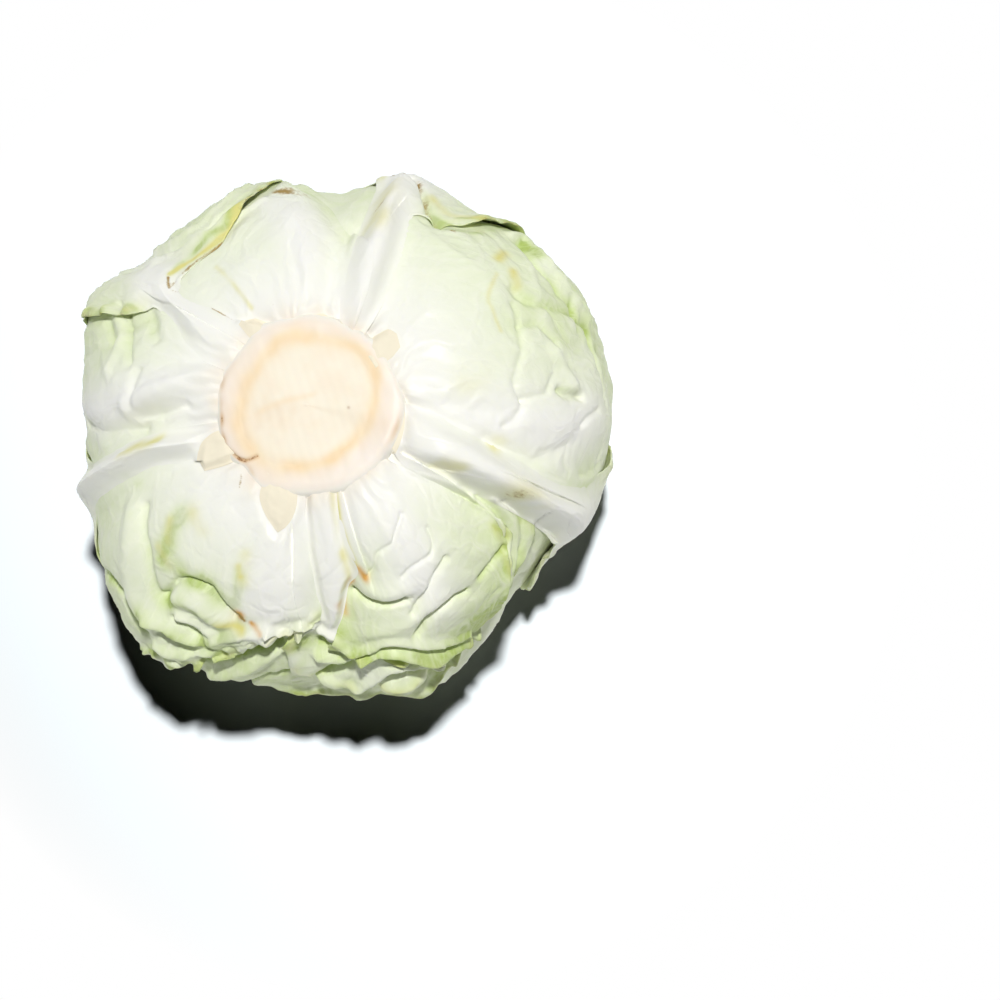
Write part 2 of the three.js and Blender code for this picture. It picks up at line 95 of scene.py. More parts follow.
def along_stations(values: Array, stations: Array) -> Array:
    """Smooth curve through values at 0, 1, 2 and so on, whose slopes never overshoot.

    Each slope is the harmonic mean of the two steps beside it, or 0 at a turning point, and
    cubic Hermite pieces join the values.

    Args:
        values: the values at the whole stations.
        stations: where the curve is wanted.

    Returns:
        The curve at each wanted station.
    """
    steps = np.diff(values)
    before, after = steps[:-1], steps[1:]
    product = before * after
    total = np.where(product > 0, before + after, 1.0)
    inner = np.where(product > 0, 2.0 * product / total, 0.0)
    slopes = np.concatenate([steps[:1], inner, steps[-1:]])
    i = np.clip(np.floor(stations).astype(int), 0, len(values) - 2)
    t = stations - i
    t2, t3 = t * t, t * t * t
    return (
        values[i] * (2 * t3 - 3 * t2 + 1)
        + slopes[i] * (t3 - 2 * t2 + t)
        + values[i + 1] * (3 * t2 - 2 * t3)
        + slopes[i + 1] * (t3 - t2)
    )


def noise(points: Array, size: float, seed: int) -> Array:
    """Smooth noise, about -1 to 1: the sum of plane waves in seeded directions.

    Args:
        points: positions, their last axis X, Y, Z.
        size: the length of the middle wave.
        seed: picks the waves.

    Returns:
        One value for each point.
    """
    rng = np.random.default_rng(seed)
    heading = rng.normal(size=(NOISE_WAVES, 3))
    heading /= np.linalg.norm(heading, axis=1, keepdims=True)
    heading *= rng.uniform(0.65, 1.5, size=(NOISE_WAVES, 1)) * 2.0 * math.pi / size
    phase = rng.uniform(0.0, 2.0 * math.pi, size=NOISE_WAVES)
    return np.sin(points @ heading.T + phase).sum(axis=-1) / math.sqrt(NOISE_WAVES / 1.5)


# ---- directions ----


def head_direction(fall: Array, clock: Array) -> Array:
    """Unit vectors at fall and clock angles: (sin f sin c, sin f cos c, cos f)."""
    f, c = np.radians(fall), np.radians(clock)
    return np.stack([np.sin(f) * np.sin(c), np.sin(f) * np.cos(c), np.cos(f)], axis=-1)


def fall_of(direction: Array) -> Array:
    """The fall angles of unit vectors."""
    return np.degrees(np.arccos(np.clip(direction[..., 2], -1.0, 1.0)))


def leaf_direction(clock: float, fall: Array, across: Array) -> Array:
    """Unit vectors in one leaf's own angles.

    Down to the equator the across angle is a clock angle, so the leaf fans out. Past it the
    leaf keeps its width: cos a (cos f z + sin f outward) + sin a sideways.

    Args:
        clock: the leaf's clock angle.
        fall: fall angles, over 180 past the crown.
        across: angles to the side of the rib.

    Returns:
        Unit vectors, on a new last axis.
    """
    fan = head_direction(fall, clock + across)
    c, f, a = math.radians(clock), np.radians(fall), np.radians(across)
    outward = np.cos(a) * np.sin(f)
    wrap = np.stack(
        [
            outward * math.sin(c) + np.sin(a) * math.cos(c),
            outward * math.cos(c) - np.sin(a) * math.sin(c),
            np.cos(a) * np.cos(f),
        ],
        axis=-1,
    )
    return np.where((fall <= 90.0)[..., None], fan, wrap)


def leaf_angles(clock: float, direction: Array) -> tuple[Array, Array]:
    """The fall and across angles of directions, in one leaf's own terms.

    Args:
        clock: the leaf's clock angle.
        direction: unit vectors on the last axis.

    Returns:
        Fall angles and across angles.
    """
    c = math.radians(clock)
    x, y, z = direction[..., 0], direction[..., 1], direction[..., 2]
    fan_across = turn_between(np.degrees(np.arctan2(x, y)), clock)
    outward = x * math.sin(c) + y * math.cos(c)
    sideways = x * math.cos(c) - y * math.sin(c)
    wrap_fall = np.degrees(np.arctan2(outward, z)) % 360.0
    wrap_across = np.degrees(np.arcsin(np.clip(sideways, -1.0, 1.0)))
    above = z >= 0.0
    return np.where(above, fall_of(direction), wrap_fall), np.where(above, fan_across, wrap_across)


# ---- the outside of the head ----


@dataclass(frozen=True)
class Lobe:
    """A swelling, or a valley if its height is negative, of the head's outside."""

    fall: float
    clock: float
    height: float
    along: float
    across: float


@dataclass(frozen=True)
class HeadShape:
    """The head's outside: a squarish ellipsoid with a stem dimple, lobes and a flat crown."""

    middle_height: float = 72.0
    half_width: float = 81.0
    rise_to_stem: float = 66.0
    drop_to_crown: float = 76.0
    squareness: float = 2.3
    stem_dimple: float = 5.0
    stem_dimple_spread: float = 20.0
    rest_blend: float = 1.2
    mean_radius: float = 76.0
    lobes: tuple[Lobe, ...] = tuple(
        Lobe(*numbers) for numbers in (
            (88, 57, 4.2, 26, 22), (100, 131, -8.5, 30, 17), (97, 162, 3.5, 25, 10),
            (82, 228, 10.5, 26, 21), (76, 299, 6.0, 14, 10), (76, 340, 2.0, 20, 16), (66, 3, -4.0, 14, 8),
            (45, 9, -2.6, 20, 6), (52, 124, -2.6, 24, 7), (56, 250, -2.6, 26, 7), (46, 172, -3.4, 18, 8),
            (55, 60, 2.4, 22, 24), (50, 146, 2.2, 16, 14), (46, 213, 2.2, 18, 20), (50, 285, 1.6, 20, 12),
            (88, 148, -4.2, 22, 12), (86, 183, -3.2, 22, 13), (82, 233, -2.6, 20, 7),
            (80, 294, 3.2, 20, 12), (82, 1, -2.6, 22, 7), (82, 33, -2.6, 20, 6), (84, 92, 1.6, 26, 14),
            (96, 121, -2.4, 22, 7),
        )
    )

    def radius(self, direction: Array) -> Array:
        """Distance from the middle to the outside.

        (|wide|^p + |high|^p)^(-1/p) with p the squareness, less a bell-shaped dimple at the
        stem, plus each lobe's two bells, and below the middle cut by the plane it rests on.

        Args:
            direction: unit vectors on the last axis.

        Returns:
            One distance for each direction.
        """
        z = direction[..., 2]
        fall = fall_of(direction)
        clock = np.degrees(np.arctan2(direction[..., 0], direction[..., 1]))
        wide = np.sin(np.radians(fall)) / self.half_width
        high = np.abs(z) / np.where(z > 0, self.rise_to_stem, self.drop_to_crown)
        p = self.squareness
        radius = (wide**p + high**p) ** (-1.0 / p)
        radius = radius - self.stem_dimple * bell(fall, self.stem_dimple_spread)
        for lobe in self.lobes:
            along = bell(fall - lobe.fall, lobe.along)
            radius = radius + lobe.height * along * bell(turn_between(clock, lobe.clock), lobe.across)
        plane = self.middle_height / np.maximum(-z, 1e-6)
        return np.where(z < 0, self.rounded_minimum(radius, plane), radius)

    def rounded_minimum(self, a: Array, b: Array) -> Array:
        """The smaller of two lengths, rounded where they are within the rest blend."""
        overlap = np.maximum(self.rest_blend - np.abs(a - b), 0.0) / self.rest_blend
        return np.minimum(a, b) - overlap**2 * self.rest_blend / 4.0

    def place(self, direction: Array, radius: Array) -> Array:
        """Positions at distances along directions from the middle of the head."""
        return direction * radius[..., None] + np.array([0.0, 0.0, self.middle_height])


HEAD = HeadShape()


def distance_over(cosine: Array) -> Array:
    """Millimetres between two places on the head, from the cosine of the angle between them."""
    return np.sqrt(np.maximum(2.0 - 2.0 * cosine, 0.0)) * HEAD.mean_radius


@dataclass(frozen=True)
class Layering:
    """How leaves that lie over each other share the depth below the outside."""

    thickness: float = 1.0
    clearance: float = 0.5
    edge_cover: Point = (1.5, 4.0)
    edge_rise: Point = (5.0, 14.0)
    cover_per_layer: float = 0.4
    spread_from: float = 22.0
    spread_over: float = 30.0
    hidden_within: float = 3.0
    collar_over: float = 13.0

    @property
    def pitch(self) -> float:
        """The depth that one leaf takes."""
        return self.thickness + self.clearance

    def cover_beyond(self, distance: Array, fall: Array, layers_between: int) -> Array:
        """How much of its room a leaf still takes at a distance outside its margin.

        Args:
            distance: distance from the margin.
            fall: fall angles, because near the stem the leaves change over shorter lengths.
            layers_between: each one widens the stretch that stays pressed in.

        Returns:
            1 near the margin, then smoothly down to 0.
        """
        away = ramp(fall, self.spread_from, self.spread_over)
        flat = self.edge_cover[0] + (self.edge_cover[1] - self.edge_cover[0]) * away
        rise = self.edge_rise[0] + (self.edge_rise[1] - self.edge_rise[0]) * away
        flat = flat + self.cover_per_layer * layers_between
        return 1.0 - smooth((distance - flat) / rise)

    def collar(self, fall: Array) -> Array:
        """How far leaf bases rise to the cut: 1 at the stem, where all are level, to 0."""
        return 1.0 - ramp(fall, BASE_FALL, self.collar_over)


LAYERING = Layering()


# ---- what a leaf is like ----


class Tint(Enum):
    """The channels that carry a leaf's local colours."""

    GREEN = 0
    BROWN = 1
    YELLOW = 2
    WHITE = 3
    BLUSH = 4
    ORANGE = 5


@dataclass(frozen=True)
class Rib:
    """The ridge of a leaf's main rib."""

    height: float
    half_width: float
    fade_fall: float
    flutes: float = 0.1

    def relief(self, fall: Array, offset: Array) -> Array:
        """Height over the blade: a bell across the rib with fine flutes, fading to the tip.

        Args:
            fall: fall angles.
            offset: signed distances from the rib's middle.

        Returns:
            Heights.
        """
        fade = 1.0 - smooth((fall - self.fade_fall * 0.6) / (self.fade_fall * 0.4))
        grow = 0.3 + 0.7 * ramp(fall, 21.0, 17.0)
        ridge = bell(offset, self.half_width * 0.66)
        flutes = self.flutes * np.cos(2.0 * math.pi * offset / (self.half_width * 0.5))
        return fade * grow * (self.height * ridge + flutes * bell(offset, self.half_width))


@dataclass(frozen=True)
class Crease:
    """A fold along fall and clock points: a ridge, or a puffed groove if its height is negative."""

    height: float
    width: float
    points: tuple[Point, ...]


@dataclass(frozen=True)
class Stroke:
    """A stretch of local colour along fall and clock points."""

    tint: Tint
    width: float
    strength: float
    points: tuple[Point, ...]


@dataclass(frozen=True)
class LineProfile:
    """A line's cross-section in line widths: a bell, mixed with a long tail if it is puffed."""

    bell_width: float = 0.8
    tail_share: float = 0.0
    tail_width: float = 1.8
    reach: float = 2.6


PLAIN_LINE = LineProfile()
PUFFED_LINE = LineProfile(tail_share=0.45, reach=7.0)


# The folds that this head is known by: a height, a width and the points of each. A fold shows
# on whichever leaf lies open there.
FOLD_ROWS: tuple[tuple[float | Point, ...], ...] = (
    # The blade between the leaf at 7 and the rib at 8 bulges between two long grooves.
    (-2.8, 2.2, (50, 242), (52, 237), (54, 232), (57, 228), (60, 224), (61, 221)),
    (2.0, 4.0, (54, 244), (57, 237), (62, 232), (65, 228), (66, 222)),
    (-3.4, 1.8, (80, 242), (72, 236), (69, 230), (71, 227), (73, 223)),
    # Under the torn edge at 7 a flap stands up, and folds run along the foot of the head.
    (-3.2, 1.3, (60, 222), (56, 221), (53, 220), (50.5, 216), (50, 212), (52, 208), (55, 203)),
    (2.6, 3.4, (56, 218), (54.5, 213), (57, 206)), (1.6, 1.8, (61, 216), (60.5, 213), (61.5, 208)),
    (-2.6, 1.3, (62.5, 217), (62.5, 213), (64, 211), (65.5, 208)),
    (3.0, 2.2, (65, 222), (65, 218), (66, 214), (65, 209), (61, 204), (58, 199), (56, 194)),
    (-2.2, 1.2, (69, 219), (69.5, 213), (67, 208), (63, 202), (60, 197)),
    (2.4, 1.8, (73, 219), (73, 215), (70, 211), (65, 205), (61, 199), (58, 195)),
    (-4.4, 1.9, (84, 220), (79, 214), (75, 208), (70, 202), (67, 196), (65, 192)),
    (3.0, 2.4, (82, 208), (77, 202), (73, 198), (67, 193)),
    (-2.6, 1.6, (90, 203), (82, 198), (78, 193), (76, 188)),
    (2.4, 1.2, (56, 193), (57, 189), (55, 185), (57, 182), (60, 186)),
    (-4.0, 0.9, (58, 188), (56, 186.5), (57, 184.5)),
    # Beside the rib at 6, and the fine forked folds of the blade at 5.
    (-0.5, 2.6, (24, 184), (31, 182), (42, 180.5), (53, 179.5)),
    (-1.3, 0.9, (35.5, 140), (37.5, 145.5), (39.5, 150), (40, 155.5), (43.5, 159), (45, 162)),
    (-1.2, 0.9, (42, 136.5), (44.5, 138), (46.5, 141.5), (46, 147.5), (47, 152)),
    (-2.4, 1.3, (50, 139), (51.5, 144.5), (54, 149), (55.5, 152.5), (57, 155)),
    (-3.2, 1.6, (61.5, 141), (60, 145.5), (60, 149.5), (61.5, 153.5), (64, 157)),
    (-2.4, 1.5, (62.5, 127), (61.5, 131.5), (61.5, 136)),
    (-4.4, 1.4, (49.5, 168), (51, 164.5), (52, 161.5), (52.5, 158.5), (53, 155)),
    (1.8, 3.6, (48, 163), (50, 158), (50, 153)),
    (1.2, 3.0, (57, 146), (58, 152), (59, 160), (59, 168)),
    # Its lower edge is a long wave with a thick roll under it, over a deep gap.
    (2.0, 1.7, (59.5, 181), (61, 177), (64.5, 173.5), (63.5, 169), (62, 164), (67.5, 157), (79, 148)),
    (-2.6, 1.2, (64, 182), (66, 174), (65, 168), (64, 164), (66.5, 160), (71, 157), (77, 152),
        (86, 146)),
    (3.4, 2.2, (68, 182.5), (69, 177), (67, 172), (65.5, 167), (66, 163.5), (75, 156), (80, 151),
        (92, 146)),
    (-5.0, 1.9, (79, 187), (74.5, 179), (71.5, 173), (68.5, 167), (70, 162.5), (76, 159), (86, 153)),
    (2.2, 1.8, (83, 178), (77, 171), (73.5, 166.5), (75.5, 162), (80.5, 158.5), (92, 155)),
    (-3.4, 1.7, (88, 177), (81, 171), (78, 166), (81, 161), (90, 157)),
    # Edges of more leaves show as bands between that leaf and the rib at 4.
    (1.4, 1.3, (49, 120), (54.5, 120.5), (59.5, 122), (63, 126), (67, 131), (74, 136), (90, 140)),
    (-2.2, 1.1, (51, 118.5), (57, 119.5), (62, 121.5), (66, 126), (70, 131.5), (78, 137), (95, 141)),
    (1.2, 1.2, (54, 117), (60, 118), (66, 121), (71, 126), (77, 132), (90, 137)),
    (-1.8, 1.0, (57, 116), (64, 117), (70, 121), (75, 127), (84, 133), (98, 138)),
    # The blade at 3 has a forked fold, a rolled margin and short slits near its rim.
    (-1.2, 1.4, (56, 62), (54, 72), (50, 84), (52, 88)),
    (-1.3, 1.3, (55, 68), (59, 68), (62, 71), (64, 74)),
    (-2.0, 2.0, (58, 58), (60, 62), (64, 64), (72, 66), (80, 70)),
    (2.0, 2.0, (74, 44), (78, 46), (74, 54), (76, 60), (82, 67)),
    (-2.0, 1.5, (74, 47), (70, 54), (72, 60), (76, 66)),
    (-1.4, 1.3, (52, 88), (55, 87), (58, 86), (60, 82)), (-2.8, 1.5, (62, 85), (64, 86), (69, 86)),
    (2.0, 3.0, (62, 76), (64, 80), (66, 84)), (-1.2, 1.4, (52, 89), (50, 94), (48, 96)),
    (-2.2, 3.4, (45, 101), (50, 102), (57, 103), (62, 100), (67, 97)),
    (-2.0, 2.0, (80, 72), (80, 78), (81, 84)), (-1.4, 1.3, (70, 92), (72, 90), (76, 88)),
    # The blade at 9 has a wide white ridge and folds that run up to the leaf at 10.
    (-2.2, 1.5, (61, 300), (56, 294), (50, 286)), (-1.6, 2.2, (46, 284), (46, 277), (47, 273)),
    (-1.4, 2.8, (54, 302), (46, 296)), (2.8, 4.4, (48, 272), (42, 275), (36, 278), (27, 288)),
    (-1.6, 2.2, (48, 270), (40, 270), (32, 273)),
    (-2.0, 2.6, (72, 272), (60, 268), (52, 267), (46, 266)),
    (1.6, 2.4, (62, 298), (57, 292), (56, 284)), (-1.6, 1.6, (64, 295), (60, 291)),
    # Pleats run along the rolled edge of the leaf at 10, and a slit beside the rib at 1.
    (1.3, 1.5, (75, 307), (68, 311), (61, 317), (57, 323), (55.5, 330), (58, 338), (61, 345)),
    (-1.6, 1.1, (74, 311), (67, 315), (61, 321), (58.5, 328), (61, 336), (66, 342)),
    (1.3, 1.5, (72, 315), (65, 321), (63, 328), (66, 335), (72, 341)),
    (-1.3, 1.2, (76, 318), (70, 323), (67, 330), (71, 336), (78, 341)),
    (-4.4, 1.5, (79, 16.5), (72, 21), (66, 25), (62.5, 28.5), (60.5, 32)),
    # The blade at 12 has a low step beside its rib.
    (-0.9, 2.6, (45, 352), (36, 354), (27, 359)),
)
FOLDS: tuple[Crease, ...] = tuple(Crease(height, width, tuple(at)) for height, width, *at in FOLD_ROWS)

# Stains on whichever leaf lies open there, and a few strokes of painted shade: a width, a strength and the
# points of each.
STAIN_ROWS: dict[Tint, tuple[tuple[float | Point, ...], ...]] = {
    Tint.YELLOW: (
        (1.8, 0.5, (50, 230), (51, 224)), (2.0, 0.4, (44, 233), (47, 229)),
        (1.6, 0.8, (57, 206), (57, 200)), (3.0, 0.35, (38, 229), (39, 222)),
        (2.4, 0.3, (39, 204), (45, 202)), (1.2, 0.7, (42, 205), (44, 203.5)),
        (1.4, 0.5, (38, 168), (44, 168), (48, 171)),
        (1.6, 1.0, (22, 162), (28, 165), (35, 166), (42, 165)), (2.4, 0.5, (36, 114), (40, 113)),
        (4.0, 0.5, (52, 112), (60, 113)), (3.0, 0.6, (48, 102)),
        (0.8, 0.4, (56, 53), (52, 56), (50, 60), (50, 68)), (2.0, 0.9, (64, 48.5), (60, 49.5)),
        (2.2, 0.8, (60.5, 54.5), (59.5, 57)), (6.0, 0.2, (40, 82)),
        # The first row here is painted shade, yellow, in the slit beside the rib at 1.
        (2.0, 0.5, (70, 24), (65, 32), (66, 39)), (4.0, 0.6, (66, 15), (48, 18)),
        # The row below is a painted shadow, yellow, under the lifted rolled edge of the leaf at 10.
        (1.0, 1.0, (54, 314), (53, 320), (52, 326), (53, 333), (60, 341)),
        (1.0, 0.35, (46, 326), (39, 328), (30, 330)), (2.2, 0.9, (50, 260), (44, 260), (40, 260)),
    ),
    Tint.GREEN: (
        (3.8, 1.0, (40, 232), (46, 229), (51, 226), (50, 219), (49, 212), (52, 205)),
        (2.6, 0.8, (60, 220), (56, 216), (57, 208), (60, 202)),
        (3.0, 0.6, (66, 224), (66, 212), (63, 204), (59, 196)),
        (3.0, 1.0, (56, 200), (54, 194), (54, 187)), (2.2, 1.0, (43, 204), (46, 203), (50, 202)),
        (3.0, 0.9, (52, 188), (57, 190), (62, 186)),
        (6.0, 0.4, (64, 206), (62, 194), (66, 180), (68, 166), (76, 154)),
        (1.8, 0.7, (76, 47), (73, 52)), (1.6, 0.9, (62, 85), (68, 86)),
        # This row and the next are painted shade, green, in the slit beside the rib at 1.
        (1.4, 0.8, (76, 17), (66, 24), (62, 30), (61, 35), (64, 40)),
        (1.0, 0.8, (64, 34), (66, 38), (70, 41)),
        # The row below is a painted shadow, green, under the lifted rolled edge of the leaf at 10.
        (1.6, 0.6, (54, 316), (54, 324), (55, 334), (62, 342)),
        (2.0, 0.3, (67, 296), (62, 297), (57, 301)), (2.6, 0.3, (54, 300), (50, 298)),
        (4.0, 0.45, (54, 352)), (3.0, 0.5, (56, 257), (51, 252)),
    ),
    Tint.ORANGE: (
        (2.0, 1.0, (54, 202)), (0.9, 0.9, (55, 198), (56, 195)), (1.5, 0.9, (43, 164), (45, 163)),
        (1.3, 0.9, (46, 168), (48, 170)), (1.6, 0.8, (51, 173), (55, 173)),
    ),
    Tint.BROWN: (
        (1.0, 0.5, (54, 202), (55, 200)), (3.0, 0.3, (54, 113), (60, 114)), (2.6, 0.45, (57, 16)),
        (3.0, 0.55, (79, 12), (76, 18)), (1.8, 0.5, (71, 16), (71, 18.5)),
        # The row below is painted shade, brown-olive, in the slit beside the rib at 1.
        (1.3, 0.5, (76, 19), (70, 22.5), (65, 26), (61, 31), (60, 36)),
        (0.7, 0.7, (31, 243), (28, 240), (25, 238), (24, 244)), (0.5, 0.45, (24, 225), (26.5, 220.5)),
        (0.7, 0.45, (53.5, 313), (51, 311), (51.5, 319), (51, 326), (51.5, 333)),
        (0.5, 0.4, (50, 311), (44, 314), (37, 316), (28, 322), (25, 335)),
        (3.4, 0.5, (64, 348), (63.5, 354)), (1.2, 0.8, (76, 347), (78, 350)),
    ),
}
STROKES: tuple[Stroke, ...] = tuple(
    Stroke(tint, width, strength, tuple(at))
    for tint, rows in STAIN_ROWS.items() for width, strength, *at in rows
)


@dataclass(frozen=True)
class Margin:
    """How a leaf ends: loose and wavy where it is free, and pressed down where it is not.

    Each side is loose from its own fall angle on, and the tip follows the left side.
    """

    flare: tuple[float, float, float] = (1.0, 1.0, 1.0)
    ruffle: float = 0.4
    wave: float = 15.0
    ragged: float = 0.4
    green: float = 0.25
    brown: float = 0.0
    left_from: float = 40.0
    right_from: float = 40.0
    loose_to: float = 140.0

    def looseness(self, fall: Array, sideways: Array) -> Array:
        """How free the margin is.

        Args:
            fall: fall angles.
            sideways: places across the leaf, -1 at the left margin and 1 at the right.

        Returns:
            Values from 0 to 1.
        """
        right = ramp(sideways, 0.6, 0.3)
        start = self.left_from + (self.right_from - self.left_from) * right
        past = smooth((fall - self.loose_to) / 15.0)
        return smooth((fall - start) / 12.0) * (1.0 - past)

    def lift(self, sideways: Array) -> Array:
        """How high a loose margin stands, mixed from its left, tip and right heights."""
        left, tip, right = self.flare
        return np.interp(sideways, (-1.0, -0.85, 0.85, 1.0), (left, tip, tip, right))


@dataclass(frozen=True)
class LeafPlan:
    """One leaf: its outline rows, rib, relief and local colours.

    A row of six gives fall and across angles of the left margin, the rib and the right
    margin. A level row of four gives one fall angle and the three across angles.
    """

    node: str
    clock: float
    rows: tuple[tuple[float, ...], ...]
    rib: Rib | None = None
    margin: Margin = Margin()
    crinkle: float = 0.45
    veins: float = 0.3
    blisters: float = 0.6
    green: float = 0.3
    grid: tuple[int, int] = (121, 97)
    thickness: float = 0.95
    seed: int = 1

    @property
    def table(self) -> Array:
        """The rows, each with fall and across angles of all three lines."""
        level = (0, 1, 0, 2, 0, 3)
        full = [row if len(row) == 6 else [row[k] for k in level] for row in self.rows]
        return np.array(full, dtype=float)

    def point(self, stations: Array, sideways: Array) -> tuple[Array, Array]:
        """Fall and across angles at stations along and places across the leaf.

        The three lines of a row are smooth curves, and a point between the rib and a margin
        lies on the straight mix of the two.

        Args:
            stations: 0 at the base, one more for each row.
            sideways: -1 at the left margin, 0 on the rib, 1 at the right margin.

        Returns:
            Fall angles and across angles.
        """
        columns = [along_stations(column, stations) for column in self.table.T]
        reach = np.abs(sideways)
        fall_edge = np.where(sideways < 0, columns[0], columns[4])
        across_edge = np.where(sideways < 0, columns[1], columns[5])
        fall = columns[2] + (fall_edge - columns[2]) * reach
        return fall, columns[3] + (across_edge - columns[3]) * reach

    def even_stations(self, count: int) -> Array:
        """Stations whose steps are even along the leaf's longest line, and wider far back.

        Args:
            count: how many stations.

        Returns:
            The stations in order.
        """
        dense = np.linspace(0.0, len(self.rows) - 1.0, 400)
        steps = np.zeros(len(dense) - 1)
        for side in (-1.0, 0.0, 1.0):
            fall, across = self.point(dense, np.full_like(dense, side))
            line = leaf_direction(self.clock, fall, across)
            fineness = 1.0 - 0.65 * ramp(fall[1:], 95.0, 15.0)
            steps = np.maximum(steps, np.linalg.norm(np.diff(line, axis=0), axis=1) * fineness)
        length = np.concatenate([[0.0], np.cumsum(steps)])
        return np.interp(np.linspace(0.0, length[-1], count), length, dense)

    def outline(self, per_side: int = 160, per_end: int = 60) -> tuple[Array, Array]:
        """Fall and across angles round the margin: up the left, across the tip and back.

        Args:
            per_side: how many points lie along each side.
            per_end: how many lie along the tip and along the base.

        Returns:
            Fall angles and across angles.
        """
        last = len(self.rows) - 1.0
        up = np.linspace(0.0, last, per_side, endpoint=False)
        over = np.linspace(-1.0, 1.0, per_end, endpoint=False)
        stations = np.concatenate([up, np.full(per_end, last), last - up, np.zeros(per_end)])
        sideways = np.concatenate([np.full(per_side, -1.0), over, np.ones(per_side), -over])
        return self.point(stations, sideways)


class Cover:
    """The room that one piece takes, as seen by the pieces under it."""

    def __init__(self, plan: LeafPlan, room: float) -> None:
        """Traces the plan's outline once.

        Args:
            plan: the piece's plan.
            room: the depth that the piece takes.
        """
        self.plan = plan
        self.room = room
        self.corners = plan.outline()
        self.outline = leaf_direction(plan.clock, *self.corners)

    def holds(self, direction: Array) -> Array:
        """Which directions lie in the outline: an odd number of its edges cross a ray from each.

        Args:
            direction: unit vectors on the last axis.

        Returns:
            True inside, for each direction.
        """
        fall, across = leaf_angles(self.plan.clock, direction)
        inside = np.zeros(fall.shape, dtype=bool)
        before = [np.roll(angles, 1) for angles in self.corners]
        for a_fall, a_across, b_fall, b_across in zip(*self.corners, *before):
            if a_fall == b_fall:
                continue
            spans = (a_fall > fall) != (b_fall > fall)
            crossing = a_across + (b_across - a_across) * (fall - a_fall) / (b_fall - a_fall)
            inside ^= spans & (across < crossing)
        return inside

    def distance(self, direction: Array) -> Array:
        """Distance to the nearest point of the margin, for each direction."""
        nearness = (direction.reshape(-1, 3) @ self.outline.T).max(axis=1)
        return distance_over(nearness).reshape(direction.shape[:-1])

    def amount(self, direction: Array, layers_between: int) -> tuple[Array, Array]:
        """How much of its room the piece takes in each direction, and how far it hides it.

        Args:
            direction: unit vectors on the last axis.
            layers_between: how many leaves lie between this piece and the one below.

        Returns:
            The share of its room and the share hidden, each from 0 to 1.
        """
        inside = self.holds(direction)
        distance = self.distance(direction)
        beyond = LAYERING.cover_beyond(distance, fall_of(direction), layers_between)
        hidden = 1.0 - smooth(distance / LAYERING.hidden_within)
        return np.where(inside, 1.0, beyond), np.where(inside, 1.0, hidden)


def pressed_by(above: Sequence[Cover], direction: Array) -> tuple[Array, Array]:
    """How deep the pieces above press a surface in, and how much of it they leave bare.

    The depth is the sum of each piece's cover times its room, and the bare share is the
    product of what each doesn't hide.

    Args:
        above: the pieces above, outermost first.
        direction: unit vectors on the last axis.

    Returns:
        Depths and bare shares.
    """
    depth = np.zeros(direction.shape[:-1])
    bare = np.ones(direction.shape[:-1])
    for i, cover in enumerate(above):
        amount, hidden = cover.amount(direction, len(above) - 1 - i)
        depth += amount * cover.room
        bare *= 1.0 - hidden
    return depth, bare


def first_surface(pieces: Sequence[Cover], direction: Array) -> Array:
    """How much deeper than the first piece's own place the first piece present lies.

    Args:
        pieces: pieces from the outermost inwards.
        direction: unit vectors, one row each.

    Returns:
        The depth of the outermost piece whose outline holds each direction.
    """
    depth = np.zeros(len(direction))
    found = np.full(len(direction), np.nan)
    for i, cover in enumerate(pieces):
        open_still = np.isnan(found)
        if not open_still.any():
            break
        inside = cover.holds(direction[open_still])
        here = depth[open_still]
        found[open_still] = np.where(inside, here, np.nan)
        depth[open_still] = here + cover.amount(direction[open_still], 0)[0] * cover.room
    return np.where(np.isnan(found), depth, found)


def near_line(
    direction: Array, points: Sequence[Point], width: float, profile: LineProfile = PLAIN_LINE
) -> Array:
    """How near directions are to a smooth line over the head: 1 on it, 0 far from it.

    Across the line the value is a bell. A puffed line has an exponential tail too, so that
    the surface beside a groove swells like a cushion beside its seam. Only directions inside
    a cone round the line are worked out, which saves most of them.

    Args:
        direction: unit vectors on the last axis.
        points: fall and clock points, or one point for a spot.
        width: the line's width in millimetres.
        profile: its cross-section.

    Returns:
        One value for each direction.
    """
    table = np.array(points if len(points) > 1 else [*points, *points], dtype=float)
    stations = np.linspace(0.0, len(table) - 1.0, 32 * (len(table) - 1) + 1)
    clocks = np.degrees(np.unwrap(np.radians(table[:, 1])))
    line = head_direction(along_stations(table[:, 0], stations), along_stations(clocks, stations))
    middle = line.mean(axis=0)
    middle /= np.linalg.norm(middle)
    reach = math.acos(min(float((line @ middle).min()), 1.0)) + profile.reach * width / HEAD.mean_radius
    flat = direction.reshape(-1, 3)
    close = flat @ middle > math.cos(min(reach, math.pi))
    away = distance_over((flat[close] @ line.T).max(axis=1, initial=-1.0))
    across = bell(away, profile.bell_width * width)
    if profile.tail_share:
        tail = np.exp(-away / (profile.tail_width * width))
        across = (1.0 - profile.tail_share) * across + profile.tail_share * tail
    result = np.zeros(len(flat))
    result[close] = across
    return result.reshape(direction.shape[:-1])


def fold_relief(direction: Array) -> Array:
    """The sum of all placed folds. Every layer follows them, so that no layer shows through."""
    relief = np.zeros(direction.shape[:-1])
    for crease in FOLDS:
        profile = PUFFED_LINE if crease.height < 0.0 else PLAIN_LINE
        relief += crease.height * near_line(direction, crease.points, crease.width, profile)
    return relief


# ---- meshes ----


